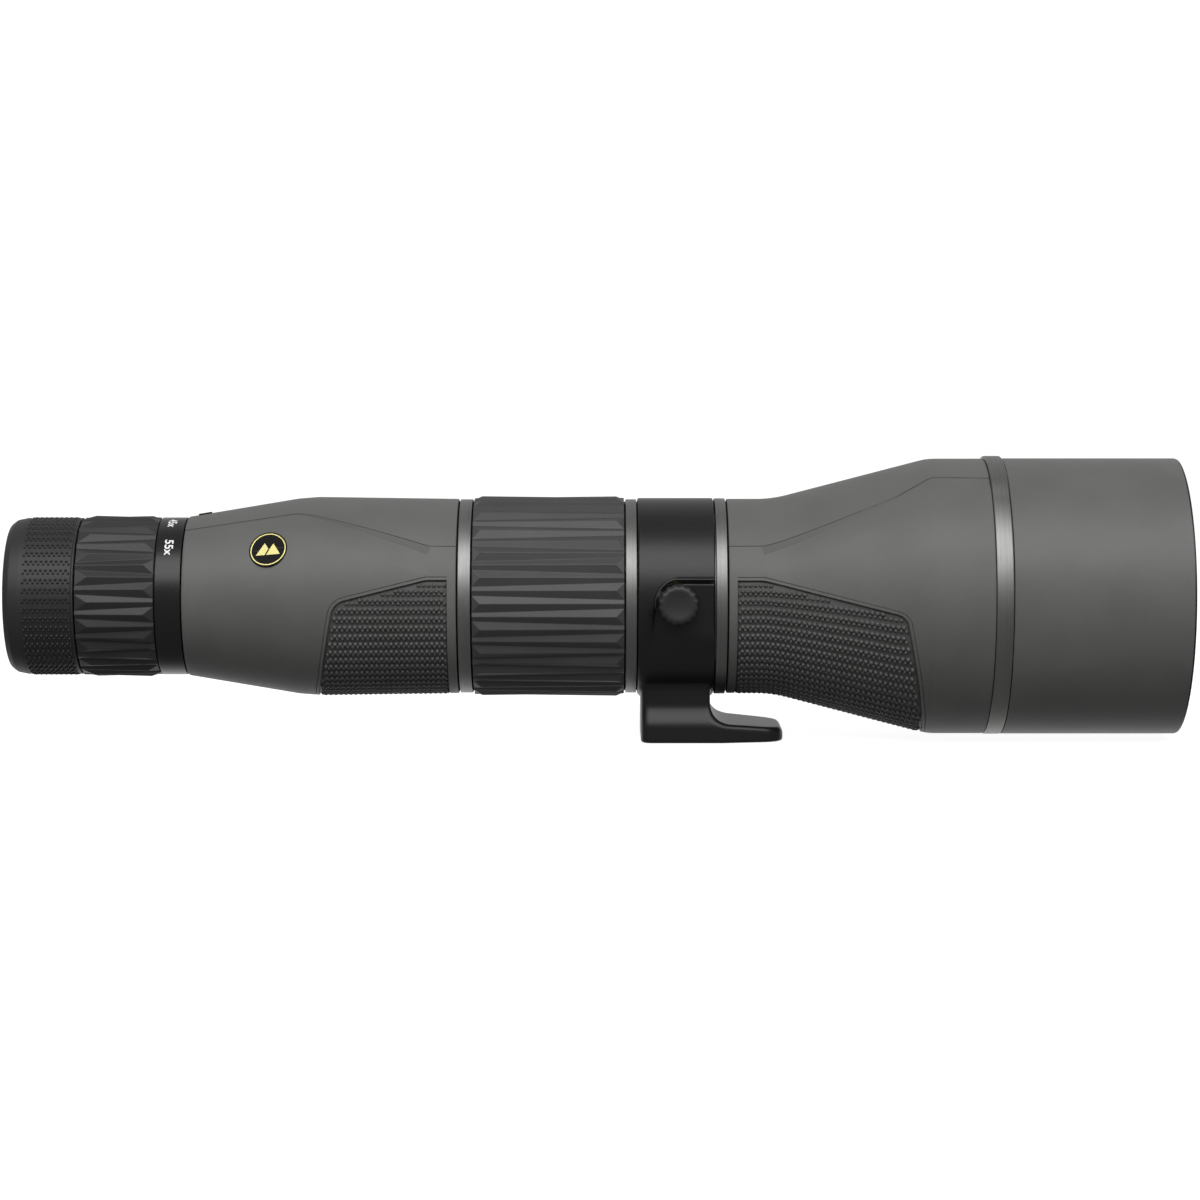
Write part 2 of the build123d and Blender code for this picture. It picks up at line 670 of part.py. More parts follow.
def along_y(x, height, radius, y_from, y_to):
    """Cylinder along Y at a height above the optical axis."""
    middle = Pos(x, (y_from + y_to) / 2, axis_height + height)
    return middle * Rot(90, 0, 0) * Cylinder(radius, abs(y_to - y_from))


def make_foot():
    """Neck and base plate in one block: its side outline crossed with its outline from above."""
    side_points = [
        (neck_rear_x, 0), (toe_x, 0), (toe_x, toe_tip_z), (neck_front_x, toe_root_z),
        (neck_front_x, 28), (neck_rear_x, 28),
    ]
    side = FilletPolyline(*[(x, 0, z) for x, z in side_points], radius=[0, 0, 1.5, 6.5, 0, 0], close=True)
    block = extrude(make_face(side), amount=base_half_width, dir=(0, 1, 0), both=True)
    plan_points = [
        (neck_rear_x, -base_half_width), (neck_front_x + 4, -base_half_width),
        (toe_x, -toe_half_width), (toe_x, toe_half_width),
        (neck_front_x + 4, base_half_width), (neck_rear_x, base_half_width),
    ]
    plan = FilletPolyline(*[(x, y, 0) for x, y in plan_points], radius=[5, 20, 8, 8, 20, 5], close=True)
    return block & extrude(make_face(plan), amount=40, dir=(0, 0, 1))


def make_neck_waist():
    """Cutters that draw the neck in above the base plate on both sides."""
    cutters = []
    for side in (-1, 1):
        points = [
            (side * 30, flare_low_z), (side * base_half_width, flare_low_z),
            (side * neck_half_width, flare_high_z), (side * neck_half_width, 40), (side * 30, 40),
        ]
        face = make_face(Polyline(*[(0, y, z) for y, z in points], close=True))
        cutters.append(extrude(face, amount=60, dir=(1, 0, 0), both=True))
    return cutters


def make_knob_pocket():
    """Flat pocket: round behind the knob, open to the objective side and downward."""
    outer_y = -60.0
    middle_y = (outer_y + pocket_floor_y) / 2
    depth = pocket_floor_y - outer_y
    pocket = along_y(knob_x, 0, knob_pocket_r, outer_y, pocket_floor_y)
    for x_from, top in ((knob_x, knob_pocket_r), (knob_x - knob_pocket_r, 0)):
        pocket += Pos((x_from + pocket_reach_x) / 2, middle_y, axis_height + (top + pocket_low) / 2) * Box(
            pocket_reach_x - x_from, depth, top - pocket_low)
    return pocket


def make_tripod_collar():
    ring = turned([
        (-collar_half_length, 25.0, 0), (collar_half_length, 25.0, 0),
        (collar_half_length, collar_r, 0.6), (-collar_half_length, collar_r, 0.6),
    ])
    foot = make_foot()
    for cutter in make_neck_waist():
        foot -= cutter
    foot = fillet(foot.edges().group_by(Axis.Z)[0], 1.0)
    casting = ring + foot
    casting -= sleeve(-60, 60, 0.01, collar_bore_r)
    casting -= make_knob_pocket()
    casting -= along_y(knob_x, 0, bushing_r, -40, -20)
    casting -= Pos(0, 0, socket_depth / 2) * Cylinder(insert_r, socket_depth)
    casting -= Pos(anti_twist_x, 0, 0) * Cylinder(anti_twist_r, 2 * anti_twist_depth)
    return casting


collar_liner = sleeve(-collar_half_length + 0.5, collar_half_length - 0.5, mid_tube_r + running,
                      collar_bore_r) - along_y(knob_x, 0, bushing_r, -40, -20)
socket_insert = Pos(0, 0, socket_depth / 2) * (
    Cylinder(insert_r, socket_depth) - Cylinder(socket_r, socket_depth))

# ---- Collar lock: knob, screw, bushing and brake shoe ----
lock_bushing = along_y(knob_x, 0, bushing_r, shoe_back_y - 0.55, bushing_y) - along_y(
    knob_x, 0, lock_screw_r + running, -40, -20)
brake_shoe = along_y(knob_x, 0, bushing_r - running, shoe_back_y, -25) - sleeve(
    -60, 60, 0.01, mid_tube_r + 0.02)
lock_screw = along_y(knob_x, 0, lock_screw_r, shoe_back_y, -40)


def make_lock_knob():
    knob = along_y(knob_x, 0, knob_r, bushing_y - 0.05, -42.0)
    knob = chamfer(knob.faces().sort_by(Axis.Y)[0].edges(), 1.0)
    for scallop in range(knob_scallops):
        angle = radians(360 / knob_scallops * scallop)
        reach = knob_r + 0.55
        knob -= along_y(knob_x + reach * cos(angle), reach * sin(angle), 0.95, -50, -30)
    return knob - lock_screw


# ---- Assemble and write one file for each part ----
prism_front, prism_rear = make_prisms()

nodes = {
    "mid_tube": make_mid_tube(),
    "accent_ring_rear": accent_ring_rear,
    "accent_ring_middle": accent_ring_middle,
    "accent_ring_front": accent_ring_front,
    "rear_housing": make_rear_housing(),
    "rear_armor": make_rear_armor(),
    "rear_grip_pad": rear_grip_pad,
    "index_mark": index_mark,
    "badge_disc": badge_disc,
    "badge_rim": badge_rim,
    "prism_carrier": make_prism_carrier(),
    "prism_front": prism_front,
    "prism_rear": prism_rear,
    "prism_screws": prism_screws,
    "eyepiece_body": make_eyepiece_body(),
    "flange_screws": flange_screws,
    "guide_tube": make_guide_tube(),
    "zoom_retaining_ring": zoom_retaining_ring,
    "eye_lens_cell": eye_lens_cell,
    "eye_lens": eye_lens,
    "eyecup_pins": eyecup_pins,
    "front_housing": front_housing,
    "front_armor": front_armor,
    "front_grip_pad": front_grip_pad,
    "baffle_rings": make_baffles(),
    "objective_barrel": objective_barrel,
    "name_ring": name_ring,
    "objective_cell": objective_cell,
    "rear_objective_lens": rear_objective_lens,
    "front_lens": front_lens,
    "objective_retaining_ring": make_objective_retaining_ring(),
    "sunshade_glide_ring": sunshade_glide_ring,
    "sunshade_tube": sunshade_tube,
    "sunshade_liner": sunshade_liner,
    "focus_ring_core": focus_core,
    "focus_grip": focus_grip,
    "focus_cell": focus_cell,
    "focus_pins": focus_pins,
    "focus_lens": focus_lens,
    "zoom_ring_core": zoom_core,
    "zoom_grip": zoom_grip,
    "zoom_scale_ring": zoom_scale_ring,
    "zoom_cam_tube": make_cam_tube(),
    "zoom_drive_pin": zoom_drive_pin,
    "zoom_front_cell": make_zoom_cell(zoom_front_pin_x, 10),
    "zoom_front_pins": make_zoom_pins(zoom_front_pin_x),
    "zoom_front_lens": zoom_front_lens,
    "zoom_rear_cell": make_zoom_cell(zoom_rear_pin_x, 10),
    "zoom_rear_pins": make_zoom_pins(zoom_rear_pin_x),
    "zoom_rear_lens": zoom_rear_lens,
    "eyecup_click_ring": make_click_ring(),
    "eyecup_sleeve": make_eyecup_sleeve(),
    "eyecup_rubber": eyecup_rubber,
    "tripod_collar": make_tripod_collar(),
    "collar_liner": collar_liner,
    "socket_insert": socket_insert,
    "lock_bushing": lock_bushing,
    "brake_shoe": brake_shoe,
    "lock_knob": make_lock_knob(),
    "lock_screw": lock_screw,
}

os.makedirs("parts", exist_ok=True)
for name, shape in nodes.items():
    export_step(shape, f"parts/{name}.step")
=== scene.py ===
"""Looks of a straight-through zoom spotting scope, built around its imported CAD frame."""

import json
import math

import bpy
import numpy as np
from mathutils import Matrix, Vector


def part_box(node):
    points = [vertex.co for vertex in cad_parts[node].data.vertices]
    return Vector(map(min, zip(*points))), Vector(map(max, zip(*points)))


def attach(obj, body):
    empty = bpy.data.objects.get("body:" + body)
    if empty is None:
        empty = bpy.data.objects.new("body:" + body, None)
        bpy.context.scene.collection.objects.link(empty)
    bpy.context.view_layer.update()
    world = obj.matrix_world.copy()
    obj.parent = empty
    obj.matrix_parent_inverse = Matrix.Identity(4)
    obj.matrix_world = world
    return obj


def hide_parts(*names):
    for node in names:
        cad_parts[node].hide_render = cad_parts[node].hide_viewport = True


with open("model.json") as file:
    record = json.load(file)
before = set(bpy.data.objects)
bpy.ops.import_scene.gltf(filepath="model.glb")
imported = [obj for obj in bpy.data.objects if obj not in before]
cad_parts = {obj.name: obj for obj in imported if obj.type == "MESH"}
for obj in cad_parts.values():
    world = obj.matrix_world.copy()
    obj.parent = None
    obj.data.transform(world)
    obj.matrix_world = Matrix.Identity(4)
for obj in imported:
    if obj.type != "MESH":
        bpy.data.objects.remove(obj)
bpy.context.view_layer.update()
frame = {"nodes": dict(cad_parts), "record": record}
nodes = frame["nodes"]
MM = 0.001


def box_mm(node):
    """Lowest and highest corner of a CAD node in millimetres."""
    low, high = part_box(node)
    return Vector(low) / MM, Vector(high) / MM


tube_low, tube_high = box_mm("mid_tube")
AXIS_Z = (tube_low.z + tube_high.z) / 2


def x_span(node):
    low, high = box_mm(node)
    return low.x, high.x


def outer_radius(node):
    low, high = box_mm(node)
    return (high.y - low.y) / 2


# ---- geometry helpers

turned_columns = 360


def on_circle(x, radius, angle):
    """Points in millimetres about the optical axis; 0 degrees is the -Y side and 90 the top."""
    turn = np.radians(angle)
    x, radius, turn = np.broadcast_arrays(x, radius, turn)
    return np.stack([x, -radius * np.cos(turn), AXIS_Z + radius * np.sin(turn)], -1)


def placed(name, data):
    """New object in the scene."""
    made = bpy.data.objects.new(name, data)
    bpy.context.scene.collection.objects.link(made)
    return made


def smooth_mesh(name, points, faces, material):
    """Mesh from points in metres."""
    mesh = bpy.data.meshes.new(name)
    mesh.from_pydata(points, [], faces)
    mesh.validate()
    mesh.materials.append(materials[material])
    mesh.shade_smooth()
    return mesh


def add_piece(name, vertices_mm, faces, body, material, replaced=(), sharp_degrees=35, slot=None):
    """New mesh piece in the row frame that rides on a CAD body.

    The slot that its material belongs to, or the one given, is worked out but not used.
    """
    slot = slot or material_slots.get(material, material)
    points = (np.reshape(vertices_mm, (-1, 3)) * MM).tolist()
    mesh = smooth_mesh(name, points, faces, material)
    mesh.set_sharp_from_angle(angle=math.radians(sharp_degrees))
    piece = placed(name, mesh)
    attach(piece, body)
    if replaced:
        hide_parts(*replaced)
    return piece


def grid_faces(rows, columns, wrap_rows=False, wrap_columns=False):
    """Quads over a grid of vertices stored row by row."""
    row_count = rows if wrap_rows else rows - 1
    column_count = columns if wrap_columns else columns - 1
    r, c = np.meshgrid(np.arange(row_count), np.arange(column_count), indexing="ij")
    next_r = (r + 1) % rows
    next_c = (c + 1) % columns
    quads = np.stack([r * columns + c, next_r * columns + c, next_r * columns + next_c,
                      r * columns + next_c], -1)
    return quads.reshape(-1, 4).tolist()


def row_cap(row, columns):
    """One face over a whole row of such a grid."""
    return list(range(row * columns, (row + 1) * columns))


def corner_arc(before, corner, after, radius, steps=4):
    """Points that round one corner of an (x, radius) outline."""
    before, corner, after = (np.array(point, float) for point in (before, corner, after))
    to_before = (before - corner) / np.linalg.norm(before - corner)
    to_after = (after - corner) / np.linalg.norm(after - corner)
    half = math.acos(max(-1.0, min(1.0, float(to_before @ to_after)))) / 2
    reach = radius / math.tan(half)
    start, end = corner + to_before * reach, corner + to_after * reach
    middle = to_before + to_after
    centre = corner + middle / np.linalg.norm(middle) * radius / math.sin(half)
    points = []
    for step in range(steps + 1):
        point = start + (end - start) * step / steps
        direction = (point - centre) / np.linalg.norm(point - centre)
        points.append(tuple(centre + direction * radius))
    return points


def rounded(outline, steps=4):
    """Outline of (x, radius, corner rounding) with arcs at its corners; an open one has sharp ends."""
    points = []
    for index, (x, radius, rounding) in enumerate(outline):
        if rounding:
            before, after = outline[index - 1], outline[(index + 1) % len(outline)]
            points += corner_arc(before[:2], (x, radius), after[:2], rounding, steps)
        else:
            points.append((x, radius))
    return points


def turned(outline, steps=4, swell=None):
    """Ring about the optical axis from a closed (x, radius, rounding) outline.

    swell gives how much its outer side is raised at each angle.
    """
    profile = np.array(rounded(outline, steps))
    angles = np.arange(turned_columns) * 360.0 / turned_columns
    radius = np.repeat(profile[:, 1:], turned_columns, 1)
    if swell:
        radius += (profile[:, 1:] > profile[:, 1].mean()) * swell(angles)
    vertices = on_circle(profile[:, :1], radius, angles[None, :]).reshape(-1, 3)
    return vertices, grid_faces(len(profile), turned_columns, True, True)


def lathe(name, outline, body, material, replaced=(), steps=4, swell=None, slot=None):
    vertices, faces = turned(outline, steps, swell)
    add_piece(name, vertices, faces, body, material, replaced, 25, slot)


def ring_outline(x_from, x_to, inner, outer, outer_rounding, inner_rounding=0):
    return [(x_from, inner, inner_rounding), (x_from, outer, outer_rounding),
            (x_to, outer, outer_rounding), (x_to, inner, inner_rounding)]


# ---- materials

materials = {}              # by the names that they are made with

# Slots of the materials that aren't named after their own slot
material_slots = {
    "flank_painted_shade": "grey_armor", "focus_rubber": "ribbed_rubber", "zoom_rubber": "ribbed_rubber",
    "knob_coat": "black_coat", "bead_highlight_coat": "black_coat", "badge_enamel": "gloss_black",
    "label_white": "gloss_black",
}


def fill(tree, node, inputs):
    """Links the inputs that are given as sockets and sets the others."""
    for name, value in inputs.items():
        if isinstance(value, bpy.types.NodeSocket):
            tree.links.new(value, node.inputs[name])
        else:
            node.inputs[name].default_value = value


def new_node(tree, kind, inputs, operation=None):
    node = tree.nodes.new("ShaderNode" + kind)
    if operation:
        node.operation = operation
    fill(tree, node, inputs)
    return node.outputs


def node_material(name):
    material = materials[name] = bpy.data.materials.new(name)
    material.use_nodes = True
    return material.node_tree, material.node_tree.nodes["Principled BSDF"]


def add_noise(tree, scale, detail=4.0, stretch=(1, 1, 1)):
    """Noise in object space; stretch above 1 packs the pattern tighter along that axis."""
    place = new_node(tree, "TexCoord", {})["Object"]
    place = new_node(tree, "Mapping", {"Vector": place, "Scale": stretch})["Vector"]
    return new_node(tree, "TexNoise", {"Vector": place, "Scale": scale, "Detail": detail})["Fac"]


def map_range(tree, value, low, high, low_from=0.3, high_from=0.7):
    ends = {"From Min": low_from, "From Max": high_from, "To Min": low, "To Max": high}
    return new_node(tree, "MapRange", {"Value": value, **ends})["Result"]


def combined(tree, first, second, operation="ADD"):
    return new_node(tree, "Math", {0: first, 1: second}, operation)[0]


def shaded_color(tree, color, factor):
    """A fixed colour or grey level made lighter or darker by a value."""
    color = np.broadcast_to(color, 3)
    return new_node(tree, "VectorMath", {0: color, "Scale": factor}, "SCALE")["Vector"]


def coated(name, color, roughness, metallic=0.0, specular=0.5, grain=9000.0, grain_depth=0.03,
           mottle=0.06, roughness_spread=0.06, stretch=(1, 1, 1), streaks=0.0):
    """Moulded rubber, plastic, painted or turned surface with fine grain and faint mottling.

    streaks is the contrast of the lines that a lathe leaves around a turned part.
    """
    tree, shader = node_material(name)
    shade = map_range(tree, add_noise(tree, 55.0, 5.0), 1 - mottle, 1 + mottle)
    if streaks:
        lines = map_range(tree, add_noise(tree, 300.0, 2.0, (7, 0.02, 0.02)), -streaks, streaks)
        shade = combined(tree, shade, lines)
    fine = add_noise(tree, grain, 3.0, stretch)
    bump = new_node(tree, "Bump", {"Strength": 1.0, "Distance": grain_depth * MM, "Height": fine})
    fill(tree, shader, {
        "Base Color": shaded_color(tree, color, shade),
        "Roughness": map_range(tree, fine, roughness - roughness_spread,
                               roughness + roughness_spread),
        "Normal": bump["Normal"], "Metallic": metallic, "Specular IOR Level": specular,
    })


def optical_glass(name, tint, coating):
    """Lens glass with a coloured anti-reflection coating."""
    tree, shader = node_material(name)
    film = shaded_color(tree, coating, map_range(tree, add_noise(tree, 40.0), 0.85, 1.0))
    fill(tree, shader, {
        "Base Color": (*tint, 1), "Roughness": 0.0, "Transmission Weight": 1.0, "IOR": 1.52,
        "Coat Weight": 1.0, "Coat Roughness": 0.01, "Coat Tint": film, "Specular Tint": film,
    })


def glow(name, strength):
    """Lets a pale material give off a little white light of its own."""
    tree = materials[name].node_tree
    fill(tree, tree.nodes["Principled BSDF"], {"Emission Strength": strength})


coated("grey_armor", (0.138, 0.138, 0.134), 0.52, grain=5200, grain_depth=0.035)
# Darker copy of the grey armor for the flank strips: painted shade, not a different rubber
coated("flank_painted_shade", (0.1, 0.1, 0.097), 0.52, grain=5200, grain_depth=0.035)
coated("hood_paint", (0.136, 0.136, 0.132), 0.48, grain=7000, grain_depth=0.018)
for name, color, roughness in (("grip_rubber", (0.104, 0.104, 0.102), 0.5),
                               ("focus_rubber", 0.06, 0.45), ("zoom_rubber", 0.032, 0.45),
                               ("eyecup_rubber", 0.028, 0.5)):
    coated(name, color, roughness, grain=7000, grain_depth=0.02)
coated("knob_coat", 0.03, 0.42, grain=8000, grain_depth=0.015)
coated("black_coat", 0.01, 0.36, grain=8000, grain_depth=0.012)
coated("satin_silver", (0.28, 0.28, 0.275), 0.455, metallic=1.0, grain=260, grain_depth=0.01,
       mottle=0.03, roughness_spread=0.08, stretch=(40, 1, 1), streaks=0.09)
coated("gloss_black", 0.012, 0.3, grain=3000, grain_depth=0.002, roughness_spread=0.03)
# Painted highlight: lighter than the collar's own black coat that the bead belongs to
coated("bead_highlight_coat", 0.05, 0.35, grain=8000, grain_depth=0.01)
coated("badge_enamel", 0.008, 0.6, specular=0.15, grain=3000, grain_depth=0.004)
coated("gold", (0.62, 0.565, 0.23), 0.28, metallic=1.0, grain=3000, grain_depth=0.003)
coated("label_white", 0.88, 0.5, grain=6000, grain_depth=0.004)
# Painted light: the printed white numbers glow a little so that they read brighter
glow("label_white", 0.2)
coated("tube_alloy", (0.5, 0.5, 0.51), 0.35, metallic=1.0, grain=400, grain_depth=0.008,
       stretch=(30, 1, 1))
coated("black_alloy", (0.02, 0.02, 0.021), 0.42, metallic=0.3, grain=500, grain_depth=0.008,
       stretch=(30, 1, 1))
coated("bearing_plastic", 0.03, 0.5, grain=4000, grain_depth=0.01)
coated("black_flock", 0.008, 0.95, specular=0.1, grain=9000, grain_depth=0.12)
coated("steel", (0.6, 0.6, 0.61), 0.3, metallic=1.0, grain=2500, grain_depth=0.006)
coated("bronze", (0.6, 0.42, 0.2), 0.32, metallic=1.0, grain=2500, grain_depth=0.006)
optical_glass("coated_glass", (0.9, 0.97, 0.94), (0.35, 0.85, 0.55))
optical_glass("prism_glass", (0.94, 0.97, 0.98), (0.8, 0.85, 1.0))

materials["ribbed_rubber"] = materials["focus_rubber"]
for subpart in frame["record"]["subparts"]:
    mesh = nodes[subpart["node"]].data
    mesh.materials.clear()
    mesh.materials.append(materials[subpart["material_slot"]])
nodes["badge_disc"].data.materials[0] = materials["badge_enamel"]

# ---- body outlines

rear_x, rear_end_x = x_span("rear_armor")
front_x, front_end_x = x_span("front_armor")
tube_radius = (tube_high.z - tube_low.z) / 2
armor_thickness = 1.8
waist_radius = 35.3         # of the armor beside the focus ring and the collar

rear_outline = [(rear_x, 28.8, 0), (-136.3, 35.45, 30.0), (-129.0, 36.0, 30.0),
                (rear_end_x, waist_radius, 0)]
front_outline = [(front_x, waist_radius, 0), (35.1, waist_radius, 45.0), (91.4, 49.9, 24.0),
                 (front_end_x, 49.9, 0)]
rear_profile, front_profile = (np.array(rounded(line, 16)) for line in (rear_outline, front_outline))


def radius_at(profile, x):
    return np.interp(x, profile[:, 0], profile[:, 1])


# Edge of the top panel: station, angle above the horizontal, width of the flank below its line
no_flank = 0.35             # width where there is only the line
rear_crease = [(rear_x, 59.8, no_flank), (-136.5, 61.0, no_flank), (-133.5, 60.3, 0.6),
               (-88.5, 35.0, 3.4), (-87.3, 34.7, 0.4), (rear_end_x, 34.7, no_flank)]
front_crease = [(front_x, 34.8, no_flank), (30.2, 34.8, 0.4), (31.4, 34.9, 3.4),
                (78.7, 54.5, 0.6), (90.5, 62.8, no_flank), (front_end_x, 62.0, no_flank)]

# Upper edge of each grip pad: station, height above the optical axis, corner rounding
rear_pad = [(-129.1, -35.9, 0), (-126.8, -26.8, 0), (-121.9, 0.2, 6.5), (-89.0, 8.4, 9.0),
            (-81.5, 8.4, 0)]
front_pad = [(21.6, 8.2, 0), (30.9, 8.2, 12.0), (80.7, -3.7, 5.2), (85.3, -26.9, 0),
             (89.2, -49.2, 0)]
pad_edge_step = 3.0         # longest straight piece of a pad's edge
pad_gap = 0.55              # dark gap between the armor and the pad's open edge
pad_end_gap = 0.12          # the same at its straight end
recess_depth = 1.45
recess_wall = 0.06          # how far its steep wall leans outward
pad_drop = 0.95             # how far the pad's base lies below the armor
lip_width = 1.1             # lip above the recess, ended by a fine line
line_half_width = 0.17
fine_line_depth = 0.3
step_half = 0.05            # half the width of the small steps beside the flank
panel_drop = 0.12           # depth of the fine line below the top panel
flank_fall = 0.24           # how deep the flank ends, for every millimetre of its width
flank_start = 0.2           # share of that depth at the flank's wide end
flank_build = 14.0          # distance over which the rest of it builds up
flank_bed = 0.12            # how far the armor lies below the flank's strip
flank_skirt = 0.5           # how far the strip's rims reach below that
flank_recovery = 9.0        # distance over which the armor rises again
edge_rounding = 0.45        # at both ends of an armor


def smooth_step(value, low, high):
    part = np.clip((value - low) / (high - low), 0, 1)
    return part * part * (3 - 2 * part)


class PadOutline:
    """Upper edge of a grip pad in unrolled coordinates: station and arc length above the side."""

    def __init__(self, edge, profile, closed_end):
        self.profile = profile
        self.closed_end = closed_end
        self.outward = 1 if closed_end == max(x for x, _, _ in edge) else -1
        line = rounded(edge, 9)
        points = []
        for (x0, h0), (x1, h1) in zip(line, line[1:]):
            pieces = max(1, round(math.hypot(x1 - x0, h1 - h0) / pad_edge_step))
            for part in np.arange(pieces) / pieces:
                x = x0 + (x1 - x0) * part
                points.append((x, self.arc(x, h0 + (h1 - h0) * part)))
        points.append((line[-1][0], self.arc(*line[-1])))
        self.points = np.array(points)

    def radius(self, x):
        return radius_at(self.profile, x)

    def arc(self, x, height):
        radius = self.radius(x)
        return radius * math.asin(max(-1.0, min(1.0, height / radius)))

    def offset(self, distance, end_distance=None):
        """The open upper edge moved outward, and its straight end by its own distance."""
        along = np.gradient(self.points, axis=0)
        along /= np.linalg.norm(along, axis=1)[:, None]
        moved = self.points + np.stack([-along[:, 1], along[:, 0]], -1) * distance
        end = 0 if self.outward < 0 else -1
        end_distance = distance if end_distance is None else end_distance
        moved[end, 0] = self.closed_end + self.outward * end_distance
        return moved

    def angle(self, x, distance):
        """Angle of the moved edge at a station, or the bottom past the edge's low end."""
        moved = self.offset(distance)
        low_end = moved[0 if self.outward > 0 else -1, 0]
        if (x - low_end) * self.outward < 0:
            return -90.0
        arc = np.interp(x, moved[:, 0], moved[:, 1])
        return max(-90.0, math.degrees(arc / self.radius(x)))

    def polygon(self, distance, end_distance=None):
        """The moved edge closed far below the bottom of the body."""
        moved = self.offset(distance, end_distance)
        far_below = -200.0
        return np.concatenate([moved, [(moved[-1, 0], far_below), (moved[0, 0], far_below)]])


def to_polygon(points, polygon):
    """Signed distance to a polygon, negative inside, and the nearest point on it."""
    best = np.full(points.shape[:-1], np.inf)
    nearest = np.zeros(points.shape)
    inside = np.zeros(points.shape[:-1], bool)
    for start, end in zip(polygon, np.roll(polygon, -1, 0)):
        edge = end - start
        part = np.clip(((points - start) @ edge) / max(edge @ edge, 1e-12), 0, 1)
        foot = start + part[..., None] * edge
        distance = np.linalg.norm(points - foot, axis=-1)
        closer = distance < best
        best = np.where(closer, distance, best)
        nearest[closer] = foot[closer]
        crosses = (start[1] > points[..., 1]) != (end[1] > points[..., 1])
        if start[1] != end[1]:
            at_x = start[0] + (points[..., 1] - start[1]) * edge[0] / edge[1]
            inside ^= crosses & (points[..., 0] < at_x)
    return np.where(inside, -best, best), nearest


def recess_profile(distance, beside_end):
    """Depth below the armor at a distance outside the pad's recess; its straight end has no line."""
    line = np.clip(1 - np.abs(distance - lip_width) / line_half_width, 0, 1)
    beside = 0.0 if beside_end else fine_line_depth * line
    return np.where(distance < recess_wall / 2, recess_depth, beside)


def spread(anchors):
    """Values that run evenly between anchors of (value, depth, number of steps)."""
    values, depths = [], []
    for (value, depth, steps), (next_value, next_depth, _) in zip(anchors, anchors[1:]):
        for step in range(steps):
            part = step / steps
            values.append(value + (min(next_value, value) - value) * part)
            depths.append(depth + (next_depth - depth) * part)
    return np.array(values + [anchors[-1][0]]), np.array(depths + [anchors[-1][1]])


def crease_at(crease, x):
    """Angle of the top panel's edge and width of the flank at a station."""
    stations, angles, widths = zip(*crease)
    return np.interp(x, stations, angles), np.interp(x, stations, widths)


def flank_depth(x, width, crease):
    """Depth at the foot of the flank; it builds up over a short way from the flank's wide end."""
    wide_end = max(crease, key=lambda corner: corner[2])[0]
    built = smooth_step(np.abs(x - wide_end), 0.0, flank_build)
    return flank_fall * width * (flank_start + (1 - flank_start) * built)


def armor_section(x, radius, crease, pad):
    """Angles and depths of the armor's side at a station, from the top to the bottom."""
    degree = math.degrees(1 / radius)
    edge, width = crease_at(crease, x)
    low_edge = edge - width * degree
    step = step_half * degree
    lip = [pad.angle(x, lip_width + side * line_half_width) for side in (1, 0, -1)]
    wall = [pad.angle(x, distance) for distance in (recess_wall, 0.0)]
    foot = panel_drop + flank_depth(x, width, crease)
    return spread([
        (90.0, 0.0, 26), (edge + step, 0.0, 1), (edge - step, foot + flank_bed, 4),
        (low_edge, foot + flank_bed, 1), (low_edge - step, foot, 12),
        (low_edge - flank_recovery * degree, 0.0, 24),
        (lip[0], 0.0, 1), (lip[1], 0.0, 1), (lip[2], 0.0, 8),
        (wall[0], 0.0, 1), (wall[1], 0.0, 40), (-90.0, 0.0, 0),
    ])


least_gap = 0.12            # between two stations of an armor


def spaced(required, extra):
    """All required stations, and those extra ones that don't crowd them."""
    kept = sorted(set(required))
    for x in extra:
        if min(abs(x - other) for other in kept) > least_gap:
            kept.append(x)
    return sorted(kept)


def make_armor(name, profile, crease, pad, replaced):
    """Rubber skin with a lined-off top panel and a recess for the grip pad."""
    low, high = profile[0, 0], profile[-1, 0]
    required = [pad.closed_end, pad.closed_end + pad.outward * recess_wall]
    for inset in (0, least_gap, edge_rounding):
        required += [low + inset, high - inset]
    bends = [p[0] for p in profile[1:-1]] + [c[0] for c in crease]
    edge_stations = []
    for (x0, arc0), (x1, arc1) in zip(pad.points, pad.points[1:]):
        edge_stations += list(np.linspace(x0, x1, int(abs(arc1 - arc0)) + 2))
    stations = spaced(required, edge_stations + bends + list(np.linspace(low, high, 90)))
    rim = pad.polygon(0.0)
    outer, inner = [], []
    for x in stations:
        radius = radius_at(profile, x)
        angles, depths = armor_section(x, radius, crease, pad)
        arcs = np.radians(angles) * radius
        distance, _ = to_polygon(np.stack([np.full(len(arcs), x), arcs], -1), rim)
        beside_end = (x - pad.closed_end) * pad.outward > recess_wall / 2
        depths = depths + recess_profile(distance, beside_end)
        loop = np.concatenate([angles, 180 - angles[-2:0:-1]])
        depth = np.concatenate([depths, depths[-2:0:-1]])
        shortfall = max(0.0, edge_rounding - min(x - low, high - x))
        rounding = edge_rounding - math.sqrt(edge_rounding ** 2 - shortfall ** 2)
        outer.append(on_circle(x, radius - depth - rounding, loop))
        inner.append(on_circle(x, radius - armor_thickness, loop))
    points = np.array(outer + inner[::-1])
    rows, columns = points.shape[:2]
    add_piece(name, points, grid_faces(rows, columns, True, True), "scope_body", "grey_armor",
              replaced, 22)


